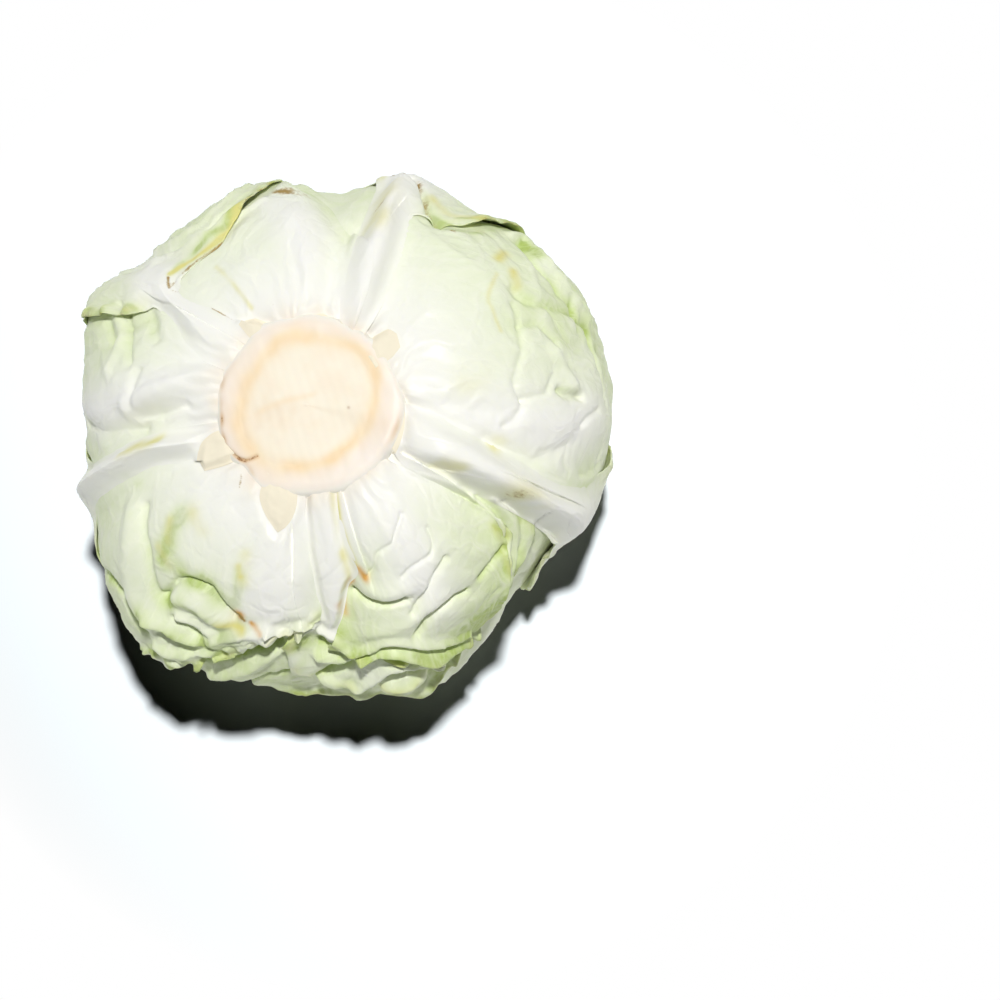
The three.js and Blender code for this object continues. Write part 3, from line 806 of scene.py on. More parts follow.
def make_mesh(name: str, points: Array, quads: Faces) -> Piece:
    """Puts millimetre points and quads into a smooth-shaded object at the origin.

    Args:
        name: the object's name.
        points: positions in millimetres, one row each.
        quads: four point indices a row, anticlockwise from outside; a repeated last index
            makes a triangle.

    Returns:
        The new object.
    """
    mesh = bpy.data.meshes.new(name)
    is_triangle = quads[:, 2] == quads[:, 3]
    corners = np.where(is_triangle, 3, 4).astype(np.int32)
    keep = np.ones(quads.shape, dtype=bool)
    keep[:, 3] = ~is_triangle
    starts = np.concatenate([[0], np.cumsum(corners)[:-1]]).astype(np.int32)
    mesh.vertices.add(len(points))
    mesh.vertices.foreach_set("co", (points * MM).astype(np.float32).ravel())
    mesh.loops.add(int(corners.sum()))
    mesh.loops.foreach_set("vertex_index", quads[keep].astype(np.int32))
    mesh.polygons.add(len(quads))
    mesh.polygons.foreach_set("loop_start", starts)
    mesh.polygons.foreach_set("loop_total", corners)
    mesh.update(calc_edges=True)
    mesh.validate()
    mesh.shade_smooth()
    piece = bpy.data.objects.new(name, mesh)
    bpy.context.scene.collection.objects.link(piece)
    return piece


def set_floats(piece: Piece, name: str, values: Array) -> None:
    """Stores one number for each point under a name that materials read."""
    attribute = piece.data.attributes.new(name, "FLOAT", "POINT")
    attribute.data.foreach_set("value", values.astype(np.float32).ravel())


def set_map(piece: Piece, across: Array, along: Array) -> None:
    """Stores a map in metres over the piece, for patterns that follow its surface.

    Args:
        piece: the object.
        across: each point's distance across, in millimetres.
        along: each point's distance along, in millimetres.
    """
    layer = piece.data.uv_layers.new(name="UVMap")
    index = np.empty(len(piece.data.loops), dtype=np.int32)
    piece.data.loops.foreach_get("vertex_index", index)
    pairs = np.stack([across.ravel()[index], along.ravel()[index]], axis=1) * MM
    layer.data.foreach_set("uv", pairs.astype(np.float32).ravel())


def sheet_quads(rows: int, columns: int, start: int = 0, flip: bool = False) -> Faces:
    """Quads of a grid of rows by columns of points, from a first index."""
    at = np.arange(rows * columns).reshape(rows, columns) + start
    quads = np.stack([at[:-1, :-1], at[:-1, 1:], at[1:, 1:], at[1:, :-1]], axis=-1).reshape(-1, 4)
    return quads[:, ::-1] if flip else quads


def shell_quads(rows: int, columns: int) -> Faces:
    """Faces of a closed shell whose inner sheet has every second row and column.

    Both counts are odd. The rim joins two fine edges to each coarse one with three triangles.

    Args:
        rows: rows of the outer sheet.
        columns: columns of the outer sheet.

    Returns:
        Quads, or triangles with a repeated last index.
    """
    size = rows * columns
    inner_rows, inner_columns = rows // 2 + 1, columns // 2 + 1
    fine = border(np.arange(size).reshape(rows, columns))
    coarse = border(np.arange(inner_rows * inner_columns).reshape(inner_rows, inner_columns) + size)
    first, middle, last = fine[::2], fine[1::2], np.roll(fine[::2], -1)
    under, next_under = coarse, np.roll(coarse, -1)
    band = [
        np.stack([first, under, middle, middle], axis=-1),
        np.stack([middle, under, next_under, next_under], axis=-1),
        np.stack([middle, next_under, last, last], axis=-1),
    ]
    sheets = [sheet_quads(rows, columns), sheet_quads(inner_rows, inner_columns, size, flip=True)]
    return np.concatenate([*sheets, *band]).astype(np.int32)


def border(grid: npt.NDArray[np.int64]) -> npt.NDArray[np.int64]:
    """The indices round the border of a grid, in order."""
    return np.concatenate([grid[0, :-1], grid[:-1, -1], grid[-1, :0:-1], grid[:0:-1, 0]])


def both_sheets(values: Array) -> Array:
    """Values for a shell's outer sheet, then for its coarser inner sheet."""
    return np.concatenate([values.ravel(), values[::2, ::2].ravel()])


def ball_quads(rings: int, segments: int) -> Faces:
    """Faces of a closed ball: rings from the top pole to the bottom one, poles stored last.

    Args:
        rings: how many rings of points lie between the poles.
        segments: points in a ring.

    Returns:
        Quads, and triangles with a repeated last index at the poles.
    """
    at = np.arange(rings * segments).reshape(rings, segments)
    after = np.roll(at, -1, axis=1)
    sides = np.stack([at[:-1], after[:-1], after[1:], at[1:]], axis=-1).reshape(-1, 4)
    top = np.full(segments, rings * segments)
    caps = [
        np.stack([top, after[0], at[0], at[0]], axis=-1),
        np.stack([top + 1, at[-1], after[-1], after[-1]], axis=-1),
    ]
    return np.concatenate([sides, *caps]).astype(np.int32)


# ---- patterns on a leaf ----


def ridge_lines(x: Array, width: Array) -> Array:
    """Bell-shaped lines at every whole number of x, with widths as shares of their spacing."""
    return bell(x - np.round(x), np.maximum(width, 1e-3))


def scatter(i: Array, j: Array, seed: float) -> Array:
    """A steady pseudo-random number from 0 to 1 for each pair of whole numbers."""
    value = np.sin(i * 127.1 + j * 311.7 + seed * 74.7) * 43758.5453
    return value - np.floor(value)


def cell_edges(u: Array, v: Array, seed: float) -> Array:
    """How far points are from the borders of irregular cells about one unit wide.

    Each unit square holds one seed at a scattered place. The result is the distance to the
    second nearest seed less the distance to the nearest, 0 on a border.

    Args:
        u: first coordinates.
        v: second coordinates.
        seed: picks the scatter.

    Returns:
        One value for each point.
    """
    nearest = np.full(u.shape, 9.0)
    second = np.full(u.shape, 9.0)
    base_i, base_j = np.floor(u), np.floor(v)
    for di in (-1.0, 0.0, 1.0):
        for dj in (-1.0, 0.0, 1.0):
            i, j = base_i + di, base_j + dj
            du = i + 0.1 + 0.8 * scatter(i, j, seed) - u
            dv = j + 0.1 + 0.8 * scatter(i, j, seed + 5.3) - v
            distance = np.hypot(du, dv)
            second = np.minimum(second, np.maximum(nearest, distance))
            nearest = np.minimum(nearest, distance)
    return second - nearest


@dataclass(frozen=True)
class Veining:
    """The veins of a leaf in its own plane: side veins fan out and a net joins them."""

    spacing: float = 11.0
    start_behind: float = 12.0
    net_size: float = 6.5
    width: float = 1.3
    cell: Point = (24.0, 14.0)

    def lines(self, along: Array, across: Array, points: Array, seed: int) -> tuple[Array, Array]:
        """The side veins and the net, each 1 on a vein and 0 between.

        Side veins lie at even bearings from a point behind the leaf's base. Twice as many
        run further out. The net is the borders of cells drawn out along them.

        Args:
            along: distances along the leaf.
            across: signed distances from the rib.
            points: positions, for a little wander.
            seed: picks the wander.

        Returns:
            The side veins and the net.
        """
        reach = np.hypot(along + self.start_behind, across)
        bearing = np.degrees(np.arctan2(across, along + self.start_behind))
        wander = 0.35 * noise(points, 26.0, seed) + 0.12 * noise(points, 9.0, seed + 1)
        turn = bearing / self.spacing + wander
        gap = np.maximum(reach * math.radians(self.spacing), 0.5)
        side = ridge_lines(turn, self.width / gap)
        finer = ridge_lines(turn * 2.0 + 0.5, 1.5 * self.width / gap)
        veins = np.maximum(side, 0.6 * finer * ramp(reach, 35.0, 25.0))
        u = bearing / self.spacing * 1.4 + wander
        net = bell(cell_edges(u, reach / self.net_size, seed * 1.7), 0.14)
        return veins, net * ramp(reach, 20.0, 20.0)

    def blisters(self, along: Array, across: Array, points: Array, seed: int) -> Array:
        """Low domes between the larger veins, 0 on a vein and 1 on top of a dome.

        They are irregular cells, bent by noise, in two sizes.

        Args:
            along: distances along the leaf.
            across: signed distances from the rib.
            points: positions, for the bending.
            seed: picks the cells.

        Returns:
            Heights from 0 to 1.
        """
        bend = 0.45 * noise(points, 34.0, seed + 11)
        bend_across = 0.45 * noise(points, 30.0, seed + 12)
        u, v = along / self.cell[0] + bend, across / self.cell[1] + bend_across
        large = smooth(cell_edges(u, v, seed * 0.37) / 0.5)
        small = smooth(cell_edges(u * 2.3, v * 2.1, seed * 0.53) / 0.5)
        return 0.9 * large + 0.1 * small


@dataclass(frozen=True)
class Crumple:
    """How a crisp leaf buckles: pleats that mostly run outward, cross folds and puckers."""

    pleat_size: float = 36.0
    pleat_stretch: float = 0.35
    pleat_width: float = 0.55
    cross_size: float = 50.0
    base_size: float = 15.0

    def relief(self, s: "LeafSheet", seed: int) -> Array:
        """Heights, about -1 to 1.

        Pleats and cross folds are bells of two noises, so they are soft ridges along the
        lines where a noise is 0. Pleat noise is stretched along the leaf. Near the base the
        leaf only has low ribs.

        Args:
            s: the leaf's sheet.
            seed: picks the noises.

        Returns:
            One height for each point.
        """
        away = ramp(s.fall, 28.0, 30.0)
        flat = np.zeros_like(s.fall)
        warp = 4.0 * noise(s.points, 34.0, seed + 5)
        grain = np.stack([self.pleat_stretch * s.along_mm, s.across_mm + warp, flat], axis=-1)
        pleats = bell(noise(grain, self.pleat_size, seed + 2), self.pleat_width)
        cross = bell(noise(s.points, self.cross_size, seed + 3), 0.3)
        puckers = noise(s.points, 34.0, seed) + 0.35 * noise(s.points, 14.0, seed + 1)
        ribs = np.stack([0.12 * s.along_mm, s.across_mm, flat], axis=-1)
        near = 0.6 * noise(ribs, self.base_size, seed + 4) * (1.0 - 0.7 * away)
        crumpled = 1.2 * pleats + 0.9 * cross * (1.0 - 0.5 * pleats) + 0.5 * puckers - 0.8
        return crumpled * away + near * ramp(s.fall, 24.0, 10.0)


@dataclass(frozen=True)
class EdgeShape:
    """How far in from its margin, in millimetres, a leaf's edge takes its shape.

    Points crowd towards the rib by a power of their place across the leaf.
    """

    roll: float = 6.0
    hem_height: float = 0.35
    hem_middle: float = 1.9
    hem: float = 1.3
    ruffle: float = 4.5
    flat: float = 4.0
    sink: float = 8.0
    sink_extra: float = 0.1
    collar_rise: float = 0.45
    veins: float = 6.0
    rib: float = 7.0
    thin: float = 5.0
    ragged: float = 2.6
    near: float = 9.0
    barely_bare: float = 0.02
    crowding: float = 1.1

    def stand(self, distance: Array) -> Array:
        """How a loose margin stands up: a wide bell at the margin and a narrow hem inside it."""
        return bell(distance, self.roll) + self.hem_height * bell(distance - self.hem_middle, self.hem)


@dataclass(frozen=True)
class ColourZones:
    """Where a leaf's colours change. A pair says where a change starts and how far it takes."""

    first_green: Point = (26.0, 16.0)
    full_green: Point = (40.0, 42.0)
    white_base: Point = (25.0, 28.0)
    rib_fade: float = 30.0
    blush_fall: float = 5.0
    # The painted shade of green in folds: its strength, and the fold depths over which it comes in.
    fold_shade_green: float = 0.55
    fold_shade_depth: Point = (0.3, 2.5)
    mottle_mm: float = 34.0
    speckle_mm: float = 9.0
    green_edge_mm: float = 4.0
    brown_edge_mm: float = 0.9


VEINING = Veining()
CRUMPLE = Crumple()
EDGE = EdgeShape()
COLOUR_ZONES = ColourZones()


# ---- leaves ----


@dataclass
class LeafSheet:
    """The points of a leaf's outside before it gets a thickness, with what shapes them."""

    fall: Array
    direction: Array
    station: Array
    sideways: Array
    along_mm: Array
    across_mm: Array
    rib_offset: Array
    margin_distance: Array
    depth: Array
    bare: Array
    under: Array
    points: Array


@dataclass
class LettuceLeaf:
    """A leaf or torn leaf base: a closed shell that follows the head under the pieces above."""

    plan: LeafPlan
    finish: "LeafFinish"
    slot: str
    thin_edge: float = 0.35
    room: float = LAYERING.pitch
    cover: Cover = field(init=False)

    def __post_init__(self) -> None:
        """Traces the outline that the leaves below will feel."""
        self.cover = Cover(self.plan, self.room)

    def sheet(self, above: Sequence[Cover], below: Sequence[Cover]) -> LeafSheet:
        """Lays the leaf's grid over the head.

        Args:
            above: the pieces that lie over this leaf.
            below: the pieces under it, outermost first.

        Returns:
            The grid with its coordinates, margin distances and depth.
        """
        rows, columns = self.plan.grid
        even = np.linspace(-1.0, 1.0, columns)
        even = np.sign(even) * np.abs(even) ** EDGE.crowding
        stations, sideways = np.meshgrid(self.plan.even_stations(rows), even, indexing="ij")
        fall, across = self.plan.point(stations, sideways)
        direction = leaf_direction(self.plan.clock, fall, across)
        depth, bare = pressed_by(above, direction)
        distance = self.cover.distance(direction)
        under = np.full(fall.shape, self.room)
        edge = (distance < EDGE.near) & (bare > EDGE.barely_bare)
        under[edge] = self.room + first_surface(below, direction[edge])
        _, rib_across = self.plan.point(stations, np.zeros_like(sideways))
        spread = np.where(fall <= 90.0, np.sin(np.radians(np.minimum(fall, 90.0))), 1.0)
        to_mm = math.radians(1.0) * HEAD.mean_radius
        along_mm = (fall - self.plan.rows[0][0]) * to_mm
        offset = (across - rib_across) * spread * to_mm
        across_mm = across * spread * to_mm
        points = HEAD.place(direction, HEAD.radius(direction))
        return LeafSheet(
            fall=fall, direction=direction, station=stations / (len(self.plan.rows) - 1.0),
            sideways=sideways, along_mm=along_mm, across_mm=across_mm, rib_offset=offset,
            margin_distance=distance, depth=depth, bare=bare, under=under, points=points,
        )

    def blade_relief(self, s: LeafSheet) -> Array:
        """What the whole thickness of the blade follows.

        Crumples and blisters flatten out at the margin. A loose margin stands up with a
        rolled hem and waves. A margin that isn't loose sinks just below the leaf under it.

        Args:
            s: the leaf's sheet.

        Returns:
            Heights over the smooth blade.
        """
        plan, margin, to_margin = self.plan, self.plan.margin, s.margin_distance
        relief = plan.crinkle * CRUMPLE.relief(s, plan.seed)
        domes = VEINING.blisters(s.along_mm, s.across_mm, s.points, plan.seed) - 0.6
        off_rib = 1.0 if plan.rib is None else 1.0 - bell(s.rib_offset, plan.rib.half_width)
        relief = relief + plan.blisters * ramp(s.fall, 44.0, 34.0) * off_rib * domes
        loose = margin.looseness(s.fall, s.sideways)
        waves = noise(s.points, margin.wave, plan.seed + 6)
        waves = waves + 0.5 * noise(s.points, 0.45 * margin.wave, plan.seed + 7)
        lift = margin.lift(s.sideways)
        edge = lift * EDGE.stand(to_margin)
        edge = edge + margin.ruffle * waves * np.minimum(lift, 1.0) * bell(to_margin, EDGE.ruffle)
        sink = -(s.under + EDGE.sink_extra) * (1.0 - smooth(to_margin / EDGE.sink))
        sink = sink * (1.0 - EDGE.collar_rise * LAYERING.collar(s.fall))
        flattened = relief * smooth(to_margin / EDGE.flat + 0.2 * loose)
        return flattened + edge * loose + sink * (1.0 - loose)

    def skin_relief(self, s: LeafSheet, veins: Array, net: Array) -> Array:
        """What stands on the outside only: the rib, the veins and the net between them.

        Args:
            s: the leaf's sheet.
            veins: 1 on a vein.
            net: 1 on the net.

        Returns:
            Heights over the blade.
        """
        plan = self.plan
        relief = plan.veins * (veins - 0.5 * net) * smooth(s.margin_distance / EDGE.veins)
        if plan.rib:
            rib = plan.rib.relief(s.fall, s.rib_offset)
            relief = relief + rib * smooth(s.margin_distance / EDGE.rib)
        return relief

    def tints(self, s: LeafSheet, veins: Array, relief: Array) -> dict[Tint, Array]:
        """The local colours, each from 0 to 1.

        A leaf is greener far from the stem and along loose margins, and its folds get a
        painted shade of green. Strokes add stains, and a few add painted shade, where they lie open.

        Args:
            s: the leaf's sheet.
            veins: 1 on a vein.
            relief: the blade's relief.

        Returns:
            Values for each tint.
        """
        plan, margin, zones = self.plan, self.plan.margin, COLOUR_ZONES
        mottle = noise(s.points, zones.mottle_mm, plan.seed + 8) * 0.5 + 0.5
        speckle = noise(s.points, zones.speckle_mm, plan.seed + 9) * 0.5 + 0.5
        outward = ramp(s.fall, *zones.full_green)
        green = plan.green * (0.3 * ramp(s.fall, *zones.first_green) + outward * (0.55 + 0.5 * mottle))
        # Painted shade: the deeper a fold, the greener the leaf is coloured there.
        green = green + zones.fold_shade_green * ramp(-relief, *zones.fold_shade_depth) * (0.25 + 0.75 * outward)
        loose = margin.looseness(s.fall, s.sideways)
        white = 1.0 - ramp(s.fall, *zones.white_base)
        if plan.rib:
            fade = 1.0 - ramp(s.fall, plan.rib.fade_fall * 0.8, zones.rib_fade)
            white = np.maximum(white, fade * bell(s.rib_offset, plan.rib.half_width * 1.1))
        edge = margin.green * loose * bell(s.margin_distance, zones.green_edge_mm) * (0.3 + speckle)
        dry = margin.brown * loose * bell(s.margin_distance, zones.brown_edge_mm)
        values = {
            Tint.GREEN: green * (1.0 - 0.15 * veins) + edge,
            Tint.BROWN: dry * smooth(speckle / 0.6),
            Tint.YELLOW: 0.3 * loose * bell(s.margin_distance - 1.6, 1.4) * speckle,
            Tint.ORANGE: np.zeros_like(green),
            Tint.WHITE: white,
            Tint.BLUSH: bell(s.fall - BASE_FALL, zones.blush_fall) * (0.6 + 0.5 * speckle),
        }
        for stroke in STROKES:
            near = near_line(s.direction, stroke.points, stroke.width) * s.bare
            values[stroke.tint] = values[stroke.tint] + stroke.strength * near * (0.65 + 0.6 * speckle)
        return {tint: np.clip(value, 0.0, 1.0) for tint, value in values.items()}

    def ragged(self, s: LeafSheet, points: Array) -> Array:
        """Moves points near a loose margin about, so that the edge is uneven.

        Args:
            s: the leaf's sheet.
            points: the sheet's points at their final height.

        Returns:
            The moved points.
        """
        margin = self.plan.margin
        near = bell(s.margin_distance, EDGE.ragged) * margin.looseness(s.fall, s.sideways)
        shift = np.stack(
            [
                noise(s.points, 10.0, self.plan.seed + 20 + k)
                + 0.5 * noise(s.points, 4.0, self.plan.seed + 30 + k)
                for k in range(3)
            ],
            axis=-1,
        )
        shift = shift - (shift * s.direction).sum(axis=-1, keepdims=True) * s.direction
        return points + shift * (margin.ragged * near * s.bare)[..., None]

    def build(self, above: Sequence[Cover], below: Sequence[Cover]) -> Piece:
        """Makes the leaf's mesh.

        The outer sheet lies at the outside less the depth plus the relief. The inner sheet
        lies one thickness below the blade, which thins towards the margin, and has every
        second row and column of the outer one.

        Args:
            above: the pieces that lie over this leaf.
            below: the pieces under it, outermost first.

        Returns:
            The finished object.
        """
        s = self.sheet(above, below)
        veins, net = VEINING.lines(s.along_mm, s.across_mm, s.points, self.plan.seed)
        relief = self.blade_relief(s) * s.bare + fold_relief(s.direction)
        level = s.depth * (1.0 - LAYERING.collar(s.fall) * s.bare)
        blade = HEAD.radius(s.direction) - level + relief
        outside = blade + self.skin_relief(s, veins, net) * s.bare
        thicker = smooth(s.margin_distance / EDGE.thin)
        thin = self.thin_edge + (self.plan.thickness - self.thin_edge) * thicker
        outer = self.ragged(s, HEAD.place(s.direction, outside))
        inner = self.ragged(s, HEAD.place(s.direction, blade - thin))
        outer[..., 2] = np.maximum(outer[..., 2], 0.0)
        inner[..., 2] = np.maximum(inner[..., 2], 0.05)
        rows, columns = self.plan.grid
        points = np.concatenate([outer.reshape(-1, 3), inner[::2, ::2].reshape(-1, 3)])
        piece = make_mesh(self.plan.node + "_skin", points, shell_quads(rows, columns))
        for tint, value in self.tints(s, veins, relief).items():
            set_floats(piece, tint.name.lower(), both_sheets(value))
        set_floats(piece, "vein", both_sheets(np.maximum(veins, 0.6 * net)))
        set_map(piece, both_sheets(s.across_mm), both_sheets(s.along_mm))
        return piece

    def dress(self, piece: Piece) -> None:
        """Gives the leaf its finish and its place in the frame.

        Args:
            piece: the finished object.
        """
        piece.data.materials.append(self.finish.material())
        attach(piece, "root")
        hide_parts(self.plan.node)


@dataclass
class TornBase(LettuceLeaf):
    """The stub that an outer leaf leaves on the stem when it is torn off."""

    rise: float = 0.5
    thin_edge: float = 0.15
    room: float = 0.7

    def blade_relief(self, s: LeafSheet) -> Array:
        """A low plateau with torn fibres, whose border sinks to the leaf under it.

        Args:
            s: the stub's sheet.

        Returns:
            Heights over the smooth base.
        """
        plateau = smooth(s.margin_distance / 3.4)
        lumps = 0.2 * noise(s.points, 9.0, self.plan.seed)
        fibres = 0.05 * noise(s.points * np.array([1.0, 1.0, 0.4]), 3.0, self.plan.seed + 1)
        border = 0.05 - s.under + self.thin_edge
        base = ramp(s.fall, BASE_FALL, 2.0)
        low = border * (1.0 - plateau) * base
        rise = self.rise * ramp(s.fall, BASE_FALL, 3.5)
        return low + (rise + lumps + fibres) * np.maximum(plateau, 1.0 - base)

    def tints(self, s: LeafSheet, veins: Array, relief: Array) -> dict[Tint, Array]:
        """Browned along the tear, yellower at the tip and pale towards the stem.

        Args:
            s: the stub's sheet.
            veins: not used, because a stub is torn below its veins.
            relief: not used.

        Returns:
            Values for each tint.
        """
        patchy = noise(s.points, 6.0, self.plan.seed + 5) * 0.5 + 0.5
        rim = bell(s.margin_distance - 0.4, 0.6) * ramp(s.fall, 23.0, 2.0)
        inner = ramp(s.margin_distance, 0.3, 2.2)
        values = {
            Tint.GREEN: np.zeros_like(rim),
            Tint.BROWN: rim * (0.9 * patchy - 0.1),
            Tint.YELLOW: (0.7 + 0.4 * s.station) * (0.7 + 0.3 * patchy) * inner,
            Tint.WHITE: 1.0 - inner * smooth(s.station / 0.7),
            Tint.BLUSH: inner * (1.0 - ramp(s.station, 0.2, 0.6)),
            Tint.ORANGE: 0.8 * inner * (s.station + 0.2) * ramp(patchy, 0.5, 0.4),
        }
        return {tint: np.clip(value, 0.0, 1.0) for tint, value in values.items()}


@dataclass
class Heart:
    """The closed heart of the head under all the leaves that are built one by one."""

    finish: "LeafFinish"
    clearance: float = 0.8
    hidden_clearance: float = 0.9
    lowest: float = 0.6
    rows: int = 100
    segments: int = 120
    seam_spacing: float = 54.0
    seam_height: float = 0.8
    lump_height: float = 0.5
    lump_mm: float = 22.0
    green_from: Point = (40.0, 60.0)
    green_mm: float = 30.0
    seed: int = 71

    def build(self, above: Sequence[Cover], stem: "StemButt") -> Piece:
        """Makes the heart: a ball of rings from pole to pole, pressed in by all above it.

        Spiral seams, where inner leaves end, are low steps at even turns of clock + fall/3.

        Args:
            above: every leaf and torn base.
            stem: the stem butt, whose plug the heart leaves room for.

        Returns:
            The finished object.
        """
        falls = np.linspace(0.0, 180.0, self.rows + 2)
        clocks = np.linspace(0.0, 360.0, self.segments, endpoint=False)
        fall, clock = np.meshgrid(falls[1:-1], clocks, indexing="ij")
        fall = np.concatenate([fall.ravel(), [0.0, 180.0]])
        clock = np.concatenate([clock.ravel(), [0.0, 0.0]])
        direction = head_direction(fall, clock)
        depth, bare = pressed_by(above, direction)
        depth = depth + stem.cover(fall) * (stem.plug_depth + LAYERING.clearance)
        points = HEAD.place(direction, HEAD.radius(direction))
        turn = (clock + fall / 3.0) / self.seam_spacing
        seam = turn - np.floor(turn)
        away = np.sin(np.radians(fall))
        lumps = self.lump_height * noise(points, self.lump_mm, self.seed)
        relief = (self.seam_height * seam + lumps) * away
        radius = HEAD.radius(direction) - depth - self.clearance - self.hidden_clearance * (1.0 - bare)
        radius = radius + relief * bare + fold_relief(direction)
        placed = HEAD.place(direction, radius)
        placed[:, 2] = np.maximum(placed[:, 2], self.lowest)
        piece = make_mesh("heart_leaves", placed, ball_quads(self.rows, self.segments))
        mottle = 0.6 + 0.4 * noise(points, self.green_mm, self.seed + 1)
        green = 0.35 * ramp(fall, *self.green_from) * mottle
        edge = bell(np.minimum(seam, 1.0 - seam), 0.05) * away
        set_floats(piece, "green", np.clip(green + 0.3 * edge, 0.0, 1.0))
        for tint in (Tint.BROWN, Tint.YELLOW, Tint.WHITE, Tint.BLUSH, Tint.ORANGE):
            set_floats(piece, tint.name.lower(), np.zeros_like(fall))
        set_floats(piece, "vein", 0.5 * edge)
        to_mm = math.radians(1.0) * HEAD.mean_radius
        set_map(piece, turn_between(clock, 0.0) * away * to_mm, fall * to_mm)
        return piece

    def dress(self, piece: Piece) -> None:
        """Gives the heart its finish and its place in the frame.

        Args:
            piece: the finished object.
        """
        piece.data.materials.append(self.finish.material())
        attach(piece, "root")
        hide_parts("heart")


Bulge = tuple[float, float, float]


def bulges_round(clock: Array, bulges: Sequence[Bulge]) -> Array:
    """The sum of bells round the clock, each with a height, a clock angle and a spread."""
    return sum(height * bell(turn_between(clock, middle), spread) for height, middle, spread in bulges)


